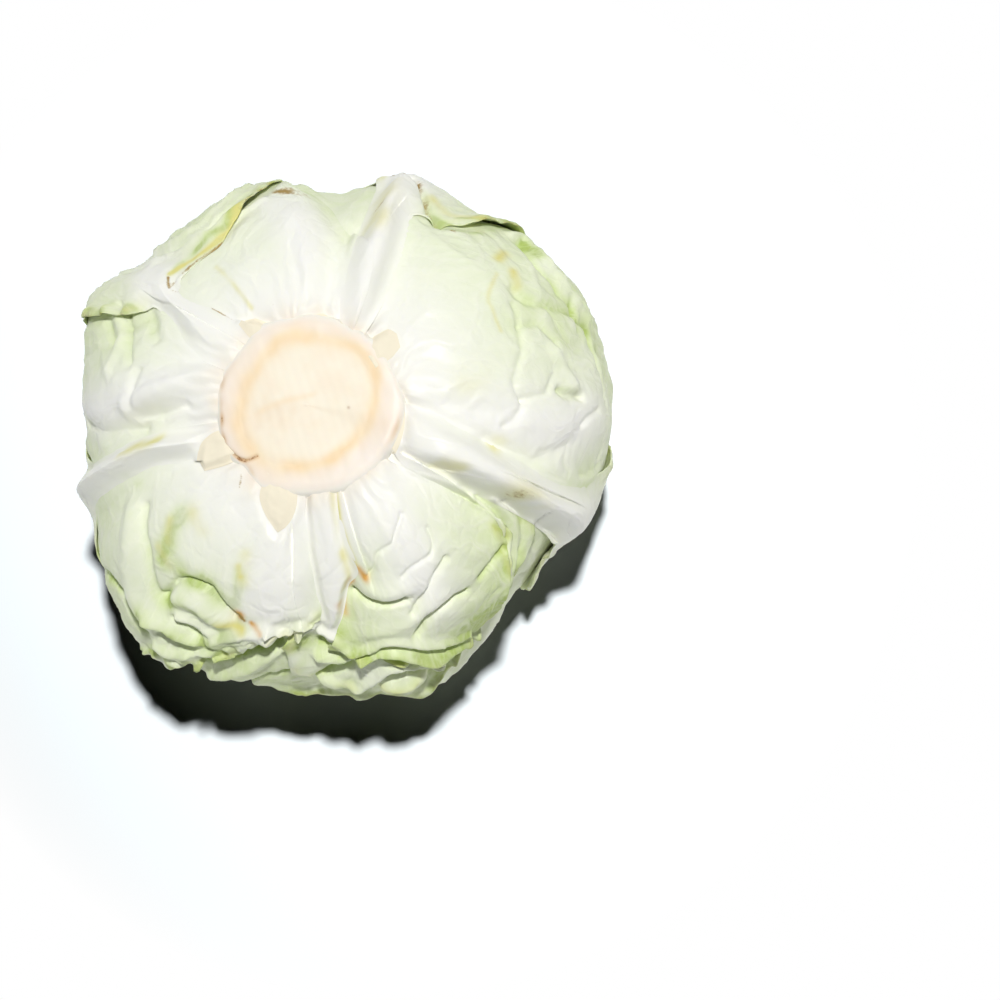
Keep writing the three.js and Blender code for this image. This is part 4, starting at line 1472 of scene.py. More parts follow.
@dataclass
class StemButt:
    """The cut end of the stem: a flat face, a skirt that runs out onto the leaves and a plug."""

    finish: "StemFinish"
    rim_fall: float = 20.9
    ring_fall: float = 17.3
    skirt: float = 4.8
    skirt_lap: float = 0.6
    skirt_sink: float = 1.8
    cut_height: float = 135.0
    groove: Point = (0.08, 0.07)
    slit_depth: float = 0.9
    slit_width: float = 0.6
    knife_ridge: float = 0.012
    plug_depth: float = 12.0
    plug_tip: float = 2.0
    plug_cover: Point = (20.6, 8.0)
    plug_rings: tuple[float, ...] = (1.04, 0.97, 0.92, 0.88, 0.84)
    plug_drops: tuple[float, ...] = (2.6, 4.4, 6.6, 9.4, 12.0)
    seed: int = 81
    rings: int = 66
    skirt_rings: int = 14
    segments: int = 230
    slit: tuple[Point, ...] = ((23.4, 245), (22.8, 241), (22.3, 234.6), (21.0, 229), (18.5, 225.5))
    rim_bulges: tuple[Bulge, ...] = (
        (2.0, 103.0, 24.0), (0.9, 250.0, 16.0), (0.8, 330.0, 12.0), (-0.7, 225.0, 9.0),
    )
    ring_bulges: tuple[Bulge, ...] = ((1.3, 44.0, 40.0), (0.8, 240.0, 26.0), (-2.2, 158.0, 46.0))

    def rim(self, clock: Array) -> Array:
        """Fall angle of the face's rim: a mean, three bulges, one dent and small waves."""
        c = np.radians(clock)
        wave = 0.35 * np.sin(5 * c + 1.75) + 0.2 * np.sin(9 * c + 0.4)
        return self.rim_fall + wave + bulges_round(clock, self.rim_bulges)

    def ring(self, clock: Array) -> Array:
        """Fall angle of the ring of bundles, which is nearest the rim at the upper right."""
        return self.ring_fall + bulges_round(clock, self.ring_bulges)

    def cover(self, fall: Array) -> Array:
        """How much of its room the plug takes at a fall angle, from 1 down to 0."""
        return 1.0 - ramp(fall, *self.plug_cover)

    def build(self, around: Sequence[Cover]) -> Piece:
        """Makes the stem: rings out over the cut face, down the skirt and in along the plug.

        The face is a flat cut with a shallow groove at the ring of bundles, faint knife
        ridges and one slit. The skirt eases from the rim to below whatever leaf lies there.

        Args:
            around: every leaf and torn base, outermost first.

        Returns:
            The finished object.
        """
        clocks = np.linspace(0.0, 360.0, self.segments, endpoint=False)
        face = np.linspace(0.0, 1.0, self.rings + 1)[1:]
        slope = np.linspace(0.0, 1.0, self.skirt_rings + 1)[1:]
        plug, drop = np.array(self.plug_rings), np.array(self.plug_drops)
        rim = self.rim(clocks)
        fall = np.concatenate([face[:, None] * rim, rim + slope[:, None] * self.skirt, plug[:, None] * rim])
        clock = np.broadcast_to(clocks, fall.shape)
        direction = head_direction(fall, clock)
        outside = HEAD.radius(direction)
        flat = HEAD.place(direction, outside)
        share = fall / self.ring(clock)
        top = first_surface(around, direction.reshape(-1, 3)).reshape(fall.shape)
        top = top * (1.0 - LAYERING.collar(fall))
        fine = 0.05 * noise(flat, 6.0, self.seed + 1) * (share > 1.0)
        lumps = 0.12 * noise(flat, 22.0, self.seed) + fine
        depth, width = self.groove
        cut = self.slit_depth * near_line(direction, self.slit, self.slit_width)
        groove = -depth * bell(share - 1.0, width) - cut
        knife = self.knife_ridge * np.sin(flat[..., 0] * 2.1 + flat[..., 1] * 0.7 + lumps * 3.0)
        level = (self.cut_height - HEAD.middle_height) / direction[..., 2] + lumps + groove + knife
        ease = smooth((fall - rim) / self.skirt + 0.1)
        resting = outside - top - self.skirt_lap - self.skirt_sink * ease**3 + 0.5 * lumps
        radius = level + (resting - level) * ease
        inward = len(face) + len(slope)
        radius[inward:] = (outside - top)[inward:] - drop[:, None]
        pole = np.array([[0.0, 0.0, 1.0]])
        middle = HEAD.place(pole, np.array([self.cut_height - HEAD.middle_height]))
        bottom = HEAD.place(pole, HEAD.radius(pole) - self.plug_depth - self.plug_tip)
        points = np.concatenate([HEAD.place(direction, radius).reshape(-1, 3), middle, bottom])
        piece = make_mesh("stem_cut_face", points, ball_quads(len(fall), self.segments))
        eased = np.concatenate([ease.ravel(), [0.0, 1.0]])
        slit = near_line(np.concatenate([direction.reshape(-1, 3), pole, pole]), self.slit, 0.8)
        self.mark(piece, points, np.concatenate([share.ravel(), [0.0, 1.0]]), eased, slit)
        return piece

    def mark(self, piece: Piece, points: Array, share: Array, ease: Array, slit: Array) -> None:
        """Stores where the ring, the rind outside it, the browned rim and the fine marks are.

        Args:
            piece: the stem's object.
            points: its points in millimetres.
            share: how far out each point is, 0 in the middle and 1 on the ring.
            ease: 0 on the face to 1 where the skirt ends.
            slit: 1 along the slit.
        """
        wander = 0.035 * noise(points, 26.0, self.seed + 2) + 0.008 * noise(points, 7.0, self.seed + 4)
        x, y = points[:, 0], points[:, 1]
        clock = np.degrees(np.arctan2(x, y))
        away = share + wander - 1.0
        ring = 0.5 * bell(away, 0.09) + 0.4 * bell(away - 0.05, 0.17)
        patchy = 0.85 + 0.2 * noise(points, 13.0, self.seed + 6)
        left = bell(turn_between(clock, 256.0), 34.0)
        bark = bell(ease - 0.3, 0.2) * left * (0.6 + 0.4 * noise(points, 5.0, self.seed + 5))
        right = bell(turn_between(clock, 106.0), 9.0) * bell(ease - 0.3, 0.25)
        bend = 0.4 * noise(points, 14.0, self.seed + 3)
        line = bell((y - 0.3 * x - 2.8 + bend) / 1.5, 0.8)
        line = line * smooth((5.0 - x) / 4.0) * smooth((x + 17.0) / 4.0)
        marks = {
            "ring": np.clip(ring * patchy, 0.0, 1.0),
            "rind": ramp(away, 0.02, 0.12),
            "leafward": smooth(ease / 0.8),
            "bark": np.clip(bark + 0.6 * right + slit, 0.0, 1.0),
            "line": line,
            "dot": 0.6 * bell(np.hypot(x - 12.4, y + 1.1), 0.4),
        }
        for name, values in marks.items():
            set_floats(piece, name, values)
        set_map(piece, x, y)

    def dress(self, piece: Piece) -> None:
        """Gives the stem its finish and its place in the frame.

        Args:
            piece: the finished object.
        """
        piece.data.materials.append(self.finish.material())
        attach(piece, "root")
        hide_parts("stem_butt")


# ---- finishes ----


def linear(hex_colour: str) -> Colour:
    """Turns an sRGB hex colour into the linear colour that shaders use."""
    parts = [int(hex_colour[i : i + 2], 16) / 255.0 for i in (0, 2, 4)]
    r, g, b = (p / 12.92 if p <= 0.04045 else ((p + 0.055) / 1.055) ** 2.4 for p in parts)
    return r, g, b, 1.0


def add(
    tree: Tree, kind: str, sockets: dict[str | int, object] | None = None, **settings: object
) -> bpy.types.Node:
    """Adds a shader node.

    Args:
        tree: the node tree.
        kind: the node's type after "ShaderNode".
        sockets: for each input, a value, an output socket, or a node whose first output is linked.
        settings: the node's own settings.

    Returns:
        The new node.
    """
    node = tree.nodes.new("ShaderNode" + kind)
    for name, value in settings.items():
        setattr(node, name, value)
    for key, value in (sockets or {}).items():
        if isinstance(value, bpy.types.Node):
            value = value.outputs[0]
        if isinstance(value, bpy.types.NodeSocket):
            tree.links.new(value, node.inputs[key])
        else:
            node.inputs[key].default_value = value
    return node


def new_material(name: str) -> tuple[bpy.types.Material, Tree]:
    """Makes an empty node material.

    Args:
        name: the material's name.

    Returns:
        The material and its node tree.
    """
    material = bpy.data.materials.new(name)
    material.use_nodes = True
    material.node_tree.nodes.clear()
    return material, material.node_tree


def coated(tree: Tree, base: object, coats: Sequence[tuple[object, object]]) -> object:
    """Lays coats of colour over a base one after another.

    Args:
        tree: the node tree.
        base: the colour under them all.
        coats: how much of each coat there is, from 0 to 1, and its colour.

    Returns:
        The colour that is left to see.
    """
    for share, colour in coats:
        base = add(tree, "Mix", {0: share, 6: base, 7: colour}, data_type="RGBA").outputs[2]
    return base


def scale_of(size_mm: float) -> float:
    """The scale that gives a pattern its real size, because textures repeat once a metre."""
    return 1.0 / (size_mm * MM)


@dataclass(frozen=True)
class LeafFinish:
    """A crisp head-lettuce leaf: thin, waxy and juicy.

    To the eye it is a smooth, softly shining pale skin that light goes a little way into,
    greener where it is thin, with paler veins, a fine net between them and dry brown edges
    where it was torn.
    """

    name: str = "iceberg_leaf_skin"
    pale: str = "f8fbea"
    green: str = "cbdd8c"
    deep: str = "9bb243"
    vein: str = "fbfcec"
    white: str = "fcfbf5"
    yellow: str = "e4de8e"
    brown: str = "a98d50"
    orange: str = "dba75a"
    blush: str = "f7ead9"
    roughness: Point = (0.36, 0.52)
    patch_mm: float = 6.25
    speck_mm: float = 1.4286
    wander_mm: float = 3.846
    bend_mm: float = 1.6
    net_mm: float = 4.2
    bump_mm: float = 0.18
    depth_mm: float = 1.0

    def material(self) -> bpy.types.Material:
        """Builds the material once and gives it again after that.

        Returns:
            The material.
        """
        known = bpy.data.materials.get(self.name)
        if known:
            return known
        material, tree = new_material(self.name)
        places = add(tree, "TexCoord")
        at, along = places.outputs["Object"], places.outputs["UV"]
        mask = {
            name: add(tree, "Attribute", attribute_name=name).outputs["Fac"]
            for name in ("green", "brown", "yellow", "white", "blush", "orange", "vein")
        }
        patches, specks, wander = (
            add(tree, "TexNoise", {"Vector": at, "Scale": scale_of(size), "Detail": fine, "Roughness": rough})
            for size, fine, rough in (
                (self.patch_mm, 4.0, 0.6), (self.speck_mm, 3.0, 0.65), (self.wander_mm, 2.0, 0.5)
            )
        )
        # The finest veins close cells of about the net size, drawn a little long.
        stretch = add(tree, "Mapping", {"Vector": along, "Scale": (1.0, 0.7, 1.0)})
        bend = (self.bend_mm * MM, self.bend_mm * MM, 0.0)
        bent = add(
            tree, "VectorMath", {0: wander.outputs["Color"], 1: bend, 2: stretch}, operation="MULTIPLY_ADD"
        )
        cells = add(
            tree, "TexVoronoi", {"Vector": bent, "Scale": scale_of(self.net_mm)},
            feature="DISTANCE_TO_EDGE", voronoi_dimensions="2D",
        )
        net = add(
            tree, "MapRange", {"Value": cells, "From Max": 0.11, "To Min": 1.0, "To Max": 0.0},
            interpolation_type="SMOOTHSTEP",
        )
        bare = add(tree, "Math", {0: 1.0, 1: mask["white"]}, operation="SUBTRACT")
        thin_net = add(tree, "Math", {0: net, 1: bare}, operation="MULTIPLY")
        lines = add(tree, "Math", {0: thin_net, 1: 0.35, 2: mask["vein"]}, operation="MULTIPLY_ADD")
        paler = add(tree, "Math", {0: lines, 1: 0.25}, operation="MULTIPLY", use_clamp=True)
        mottled = add(tree, "Math", {0: patches, 1: 0.9, 2: 0.55}, operation="MULTIPLY_ADD")
        patchy = {
            name: add(tree, "Math", {0: mask[name], 1: mottled}, operation="MULTIPLY", use_clamp=True)
            for name in ("green", "blush", "yellow", "orange")
        }
        dried = add(tree, "Math", {0: specks, 1: 0.9, 2: mask["brown"]}, operation="MULTIPLY_ADD")
        # The green mask also carries the painted shade of folds, so the deep green it brings on gathers in
        # folds as painted shade too.
        deepening, dry = (
            add(tree, "MapRange", {"Value": value, "From Min": low, "From Max": high},
                interpolation_type="SMOOTHSTEP")
            for value, low, high in ((patchy["green"], 0.65, 1.35), (dried, 0.62, 1.15))
        )
        colour = coated(tree, linear(self.pale), [
            (patchy["green"], linear(self.green)), (deepening, linear(self.deep)),
            (paler, linear(self.vein)), (mask["white"], linear(self.white)),
            (patchy["blush"], linear(self.blush)), (patchy["yellow"], linear(self.yellow)),
            (patchy["orange"], linear(self.orange)), (dry, linear(self.brown)),
        ])
        relief = add(tree, "Math", {0: thin_net, 1: 0.5, 2: specks}, operation="MULTIPLY_ADD")
        relief = add(tree, "Math", {0: patches, 1: 0.8, 2: relief}, operation="MULTIPLY_ADD")
        bump = add(tree, "Bump", {"Strength": 0.5, "Distance": self.bump_mm * MM, "Height": relief})
        waxy, dull = self.roughness
        wax = add(tree, "MapRange", {
            "Value": patches, "From Min": 0.3, "From Max": 0.7, "To Min": waxy, "To Max": dull,
        })
        matt = add(tree, "Math", {0: dry, 1: 0.3, 2: wax}, operation="MULTIPLY_ADD")
        shader = add(tree, "BsdfPrincipled", {
            "Base Color": colour, "Roughness": matt, "Normal": bump, "IOR": 1.42,
            "Subsurface Weight": 0.12, "Subsurface Radius": (0.95, 1.0, 0.6),
            "Subsurface Scale": self.depth_mm * MM, "Specular IOR Level": 0.32,
            "Coat Weight": 0.06, "Coat Roughness": 0.3,
        })
        add(tree, "OutputMaterial", {"Surface": shader})
        return material


@dataclass(frozen=True)
class StemFinish:
    """A knife cut through a juicy stem, a day or two old.

    To the eye it is smooth cream pith inside an irregular ring of orange bundles, a pinkish
    rind that pales into the leaf bases, a faint line across it and a little browning.
    """

    name: str = "cut_lettuce_stem"
    core: str = "fdf3e1"
    blush: str = "fceeda"
    bundle: str = "fbdfb6"
    rind: str = "fbefe4"
    leafward: str = "fbf7ee"
    bark: str = "d9b88e"
    scar: str = "a2754c"
    patch_mm: float = 9.0909
    fibre_mm: float = 1.25
    bump_mm: float = 0.1
    depth_mm: float = 1.2

    def material(self) -> bpy.types.Material:
        """Builds the material.

        Returns:
            The material.
        """
        material, tree = new_material(self.name)
        at = add(tree, "TexCoord").outputs["Object"]
        mask = {
            name: add(tree, "Attribute", attribute_name=name).outputs["Fac"]
            for name in ("ring", "rind", "leafward", "bark", "line", "dot")
        }
        patches, fibres = (
            add(tree, "TexNoise", {"Vector": at, "Scale": scale_of(size), "Detail": 3.0, "Roughness": rough})
            for size, rough in ((self.patch_mm, 0.5), (self.fibre_mm, 0.7))
        )
        streaks = add(tree, "Math", {0: patches, 1: 0.6, 2: 0.7}, operation="MULTIPLY_ADD")
        ring, rim = (
            add(tree, "Math", {0: mask[name], 1: streaks}, operation="MULTIPLY", use_clamp=True)
            for name in ("ring", "bark")
        )
        line = add(tree, "Math", {0: mask["line"], 1: 0.35}, operation="MULTIPLY")
        spots = add(tree, "Math", {0: fibres, 1: mask["bark"]}, operation="MULTIPLY")
        soft, burnt = (
            add(tree, "MapRange", {"Value": value, "From Min": low, "From Max": high},
                interpolation_type="SMOOTHSTEP")
            for value, low, high in ((patches, 0.35, 0.7), (spots, 0.36, 0.56))
        )
        scars = add(tree, "Math", {0: burnt, 1: mask["dot"]}, operation="MAXIMUM")
        colour = coated(tree, linear(self.core), [
            (soft, linear(self.blush)), (mask["rind"], linear(self.rind)),
            (ring, linear(self.bundle)), (line, linear(self.bundle)),
            (mask["leafward"], linear(self.leafward)), (rim, linear(self.bark)),
            (scars, linear(self.scar)),
        ])
        height = add(tree, "Math", {0: fibres, 1: 0.5, 2: patches}, operation="MULTIPLY_ADD")
        bump = add(tree, "Bump", {"Strength": 0.3, "Distance": self.bump_mm * MM, "Height": height})
        wet = add(tree, "MapRange", {"Value": patches, "To Min": 0.36, "To Max": 0.5})
        shader = add(tree, "BsdfPrincipled", {
            "Base Color": colour, "Roughness": wet, "Normal": bump, "IOR": 1.4,
            "Subsurface Weight": 0.15, "Subsurface Radius": (1.0, 0.8, 0.5),
            "Subsurface Scale": self.depth_mm * MM,
        })
        add(tree, "OutputMaterial", {"Surface": shader})
        return material


SKIN = LeafFinish()
RIBBED = LeafFinish(name="ribbed_leaf_skin", pale="f8fae9", green="cbdc92", roughness=(0.32, 0.46))
TORN = LeafFinish(
    name="torn_leaf_base", pale="ffe7b8", green="f8eabc", deep="dcc487", vein="fff0cc", white="fdf8ea",
    yellow="ffc864", brown="b5824a", orange="f3ab58", blush="ffe0b6", roughness=(0.4, 0.6), net_mm=2.0,
    bump_mm=0.25,
)
CUT = StemFinish()


# ---- the pieces of this head ----


class Kind(Enum):
    """The kinds of leaf, each with its slot."""

    OUTER = "outer_leaf"
    WRAPPER = "wrapper_leaf"
    INNER = "inner_leaf"


def leaf(kind: Kind, hour: int, **plan: object) -> LettuceLeaf:
    """A leaf of a kind at an hour of the clock, from its plan's fields."""
    finish = RIBBED if kind is Kind.OUTER else SKIN
    return LettuceLeaf(LeafPlan(node=f"{kind.value}_at_{hour}", **plan), finish, kind.value)


def torn_base(hour: int, rise: float, **plan: object) -> TornBase:
    """A torn leaf base at an hour of the clock, with the fine grid that they all share."""
    shared = LeafPlan(node=f"leaf_stub_at_{hour}", grid=(45, 53), veins=0.0, thickness=0.45, **plan)
    return TornBase(shared, TORN, "torn_leaf_base", rise=rise)


def stubs() -> list[TornBase]:
    """The six torn leaf bases round the stem, outermost first."""
    return [
        torn_base(
            7, 0.4, clock=197, seed=11,
            rows=((20.0, -10, 2, 14), (25, -10.5, 25.5, 0, 25, 12), (28.5, -9, 29, -1, 28.5, 6),
                (31, -6, 32.3, -3, 31, 0)),
        ),
        torn_base(
            8, 0.3, clock=243, seed=12,
            rows=((20.0, -10, -1, 10), (25, -8, 25.5, 1, 24.5, 13), (29, -5, 30, 3, 29, 10),
                (31.5, -3, 32, 2, 31, 6)),
        ),
        torn_base(
            2, 0.3, clock=53, seed=13,
            rows=((20.0, -10, 0, 10), (24, -9, 24.5, 0, 24, 9), (28, -6, 28.6, -1, 27.5, 6)),
        ),
        torn_base(
            11, 0.3, clock=330, seed=14,
            rows=((20.0, -9, 0, 9), (24, -10, 24.5, -3, 24, 5), (28, -10, 28.6, -6, 27.5, -1)),
        ),
        torn_base(
            3, 0.4, clock=100, seed=15,
            rows=((20.0, -18, 2, 20), (23.2, -17, 23.8, 2, 24, 21), (24.6, -12, 25.6, 4, 26, 20)),
        ),
        torn_base(
            12, 0.3, clock=358, seed=16,
            rows=((20.0, -8, 6, 30), (22.5, -2, 23.2, 8, 22.8, 26), (23.4, 4, 24.6, 11, 23.8, 20)),
        ),
    ]


def leaves() -> list[LettuceLeaf]:
    """The leaves from the outermost inwards."""
    return [
        leaf(
            Kind.OUTER, 10, clock=308, seed=21, grid=(201, 121), rib=Rib(0.8, 8.0, 70.0), crinkle=0.8,
            green=0.5,
            margin=Margin(
                flare=(2.4, 1.25, 0.6), ruffle=0.6, green=0.5, brown=0.4, left_from=50.0,
                right_from=48.0, loose_to=66.0,
            ),
            rows=((BASE_FALL, -14, 8, 27), (28, -14, 4, 15), (36, -11, 1, 8.5), (46, -5, 0.5, 4.5),
                (53, -4, 53, 1, 51, 8), (56.5, -9, 60, 2, 51, 20), (64, -12.5, 70, 4, 55, 28),
                (72, -14, 80, 4, 63, 36), (84, -15, 92, 3, 78, 41), (100, -20, 108, 2, 98, 41),
                (130, -30, 134, 0, 130, 40), (160, -36, 162, 0, 160, 38), (184, -30, 186, 0, 184, 30),
                (198, -18, 200, 0, 198, 18)),
        ),
        leaf(
            Kind.OUTER, 1, clock=20, seed=22, grid=(181, 121), rib=Rib(3.8, 11.0, 112.0, 0.03),
            crinkle=0.35, green=0.45,
            margin=Margin(
                flare=(0.8, 1.2, 1.6), ruffle=0.5, green=0.5, brown=0.4, left_from=66.0, right_from=56.0,
                loose_to=76.0,
            ),
            rows=((BASE_FALL, 4, 12, 20), (30, -4, 6, 17), (42, -7, 2, 11.5), (57, -8, 57, -1, 58, 5),
                (70, -9, 65, -3, 61, 11), (82, -12, 74, -4, 62.5, 17), (90, -20, 86, -4, 76, 22),
                (104, -28, -4, 27), (124, -26, 126, -3, 124, 24), (140, -16, 142, -2, 140, 16),
                (147, -7, 149, 0, 147, 7)),
        ),
        leaf(
            Kind.OUTER, 8, clock=257, seed=23, grid=(151, 91), rib=Rib(3.8, 8.0, 112.0, 0.04),
            crinkle=0.35, green=0.35,
            margin=Margin(flare=(0.5, 0.5, 0.5), green=0.3, left_from=76.0, right_from=74.0),
            rows=((BASE_FALL, -21, -9, 4), (34, -10, -1, 6.5), (45, -5, 0.5, 7), (60, -4.5, 0.5, 5.5),
                (74, -4.5, 1, 6), (86, -12, 1, 12), (102, -22, 0, 20), (122, -20, 124, 0, 122, 18),
                (136, -8, 138, 0, 136, 8)),
        ),
        leaf(
            Kind.OUTER, 4, clock=112, seed=24, grid=(161, 111), rib=Rib(4.6, 10.5, 112.0, 0.03),
            crinkle=0.25, green=0.25,
            margin=Margin(flare=(0.2, 1.0, 1.0), green=0.3, left_from=84.0, right_from=74.0),
            rows=((BASE_FALL, -25, -12, 1), (30, -19, -5, 11), (38, -14, -3, 8), (53, -8.5, -0.5, 6),
                (66, -6, 0.5, 5.5), (78, -8, 1, 6), (90, -13, 1, 10), (108, -20, 110, 0, 108, 18),
                (128, -20, 130, 0, 128, 16), (142, -8, 144, 0, 142, 8)),
        ),
        leaf(
            Kind.WRAPPER, 5, clock=148, seed=25, grid=(181, 181), rib=Rib(1.0, 9.0, 60.0), crinkle=0.5,
            green=0.85, blisters=0.4,
            margin=Margin(
                flare=(0.3, 1.2, 0.1), ruffle=0.5, wave=22.0, green=0.4, brown=0.25, left_from=50.0,
                right_from=54.0,
            ),
            rows=((BASE_FALL, -30, -8, 11), (28, -30, -6, 16), (35, -30, -5, 18),
                (44, -29, 44, -2, 43, 16.5), (50, -28, 50, 0, 48, 21.5), (57, -26, 57, 0, 56, 26),
                (66, -20, 66, 2, 63, 31), (75, -14, 76, 3, 67, 25), (84, -9, 85, 4, 71, 13)),
        ),
        leaf(
            Kind.WRAPPER, 7, clock=190, seed=26, grid=(181, 221), rib=Rib(1.2, 12.0, 60.0), crinkle=0.45,
            green=0.4, blisters=0.4,
            margin=Margin(
                flare=(0.3, 1.6, 0.2), ruffle=1.4, wave=8.0, ragged=1.0, green=1.0, brown=0.15,
                left_from=49.0, right_from=NEVER,
            ),
            rows=((BASE_FALL, -8, 4, 52), (32, -8, 32, 2, 33, 66), (42, -9.5, 42, 2, 46, 70),
                (49, -10, 50, 3, 60, 70), (53, -10.5, 55, 3.5, 78, 65), (55, -10.5, 60, 3.5, 98, 48)),
        ),
        leaf(
            Kind.WRAPPER, 12, clock=352, seed=27, grid=(171, 181), rib=Rib(1.6, 9.0, 62.0), crinkle=0.5,
            green=0.4,
            margin=Margin(
                flare=(1.2, 1.2, 0.2), ruffle=0.5, green=0.35, brown=0.2, left_from=60.0,
                right_from=NEVER,
            ),
            rows=((BASE_FALL, -36, 4, 41), (34, -42, 6, 35), (45, -44, 4, 25), (54, -46, 0, 14.5),
                (63, -46, 64, -6, 63, 9), (72, -46, 74, -14, 71, 1), (80, -40, 82, -22, 77, -8),
                (86, -30, 86, -24, 83, -16)),
        ),
        leaf(
            Kind.WRAPPER, 9, clock=283, seed=28, grid=(171, 141), rib=Rib(1.6, 8.0, 80.0), crinkle=0.6,
            green=0.45, margin=Margin(flare=(0.9, 0.9, 0.9), ruffle=0.5, green=0.4),
            rows=((BASE_FALL, -24, 8, 26), (34, -28, 0, 34), (48, -30, -8, 36), (62, -30, -10, 36),
                (76, -28, -8, 34), (92, -26, -4, 30), (112, -22, 113, 0, 112, 26),
                (132, -14, 134, 0, 132, 16), (140, -7, 142, 0, 140, 7)),
        ),
        leaf(
            Kind.WRAPPER, 3, clock=92, seed=29, grid=(211, 261), rib=Rib(1.6, 12.0, 84.0), crinkle=0.7,
            green=0.45, blisters=0.8,
            margin=Margin(flare=(0.8, 0.8, 0.2), green=0.4, brown=0.15, right_from=75.0),
            rows=((BASE_FALL, -58, 0, 17), (30, -66, 2, 18), (42, -70, 3, 17), (56, -71, 3, 17),
                (70, -70, 0, 17), (82, -66, 84, -4, 84, 17), (96, -54, 98, -10, 98, 15),
                (106, -36, 108, -10, 107, 8)),
        ),
        leaf(
            Kind.OUTER, 6, clock=174, seed=30, grid=(121, 61), rib=Rib(4.0, 7.5, 74.0, 0.03),
            crinkle=0.25, green=0.3,
            margin=Margin(flare=(0.2, 0.2, 0.2), green=0.4, left_from=NEVER, right_from=NEVER),
            rows=((BASE_FALL, -16, -5, 16), (35, -13, -1.5, 13), (48, -12, -0.5, 12), (56, -10, 0, 10),
                (60, -8, 61, 0, 60, 8), (63, -4, 64, 0, 63, 5)),
        ),
        leaf(
            Kind.INNER, 5, clock=152, seed=31, grid=(101, 141),
            margin=Margin(flare=(0.3, 1.8, 1.4), ruffle=1.0, wave=20.0, green=0.4), crinkle=0.5,
            green=0.25,
            rows=((BASE_FALL, -26, 0, 26), (40, -30, 0, 34), (55, -31, 0, 36), (64, -30, 2, 38),
                (72, -22, 73, 4, 73, 38), (79, -13, 80, 6, 78, 34), (84, -2, 84, 10, 82, 24)),
        ),
        leaf(
            Kind.INNER, 6, clock=168, seed=32, grid=(131, 181),
            margin=Margin(flare=(0.3, 1.4, 0.0), ruffle=1.2, wave=22.0, green=0.5, right_from=NEVER),
            crinkle=0.5, green=0.5,
            rows=((BASE_FALL, -30, 0, 30), (42, -54, 0, 54), (58, -58, 0, 64), (70, -51, 0, 62),
                (79, -42, 80, 4, 80, 58), (87, -31, 88, 6, 87, 48), (94, -14, 95, 8, 93, 32)),
        ),
        leaf(
            Kind.INNER, 4, clock=140, seed=33, grid=(131, 111),
            margin=Margin(flare=(0.8, 0.8, 0.8), ruffle=0.6, green=0.3), crinkle=0.55, green=0.3,
            rows=((BASE_FALL, -26, 0, 26), (44, -32, 0, 36), (62, -30, 0, 42), (76, -26, 0, 46),
                (90, -24, 2, 46), (104, -24, 105, 4, 104, 42), (122, -20, 123, 4, 122, 36),
                (140, -8, 142, 4, 140, 20)),
        ),
        leaf(
            Kind.INNER, 8, clock=232, seed=34, grid=(131, 121),
            margin=Margin(flare=(0.5, 0.5, 0.5), ruffle=0.4, green=0.3), crinkle=0.5, green=0.4,
            rows=((BASE_FALL, -26, 0, 26), (42, -36, 0, 32), (58, -38, 0, 34), (72, -38, 0, 32),
                (88, -36, 0, 30), (106, -32, 0, 28), (126, -24, 127, 0, 126, 22),
                (144, -12, 146, 0, 144, 12)),
        ),
        leaf(
            Kind.INNER, 3, clock=80, seed=35, grid=(111, 101),
            margin=Margin(flare=(0.8, 0.8, 0.8), ruffle=0.6, green=0.4), crinkle=0.55, green=0.55,
            rows=((BASE_FALL, -30, 0, 34), (45, -42, 0, 40), (65, -50, 0, 46), (90, -52, 0, 48),
                (120, -46, 0, 44), (150, -34, 0, 34), (172, -14, 174, 0, 172, 14)),
        ),
        leaf(
            Kind.INNER, 1, clock=5, seed=36, grid=(111, 101),
            margin=Margin(flare=(0.8, 0.8, 0.8), ruffle=0.6, green=0.4), crinkle=0.8, green=0.4,
            rows=((BASE_FALL, -34, 0, 34), (45, -36, 0, 36), (60, -42, 0, 40), (75, -46, 0, 44),
                (95, -46, 96, 0, 95, 44), (120, -40, 121, 0, 120, 38), (148, -28, 150, 0, 148, 28),
                (168, -12, 170, 0, 168, 12)),
        ),
    ]


# ---- the studio ----


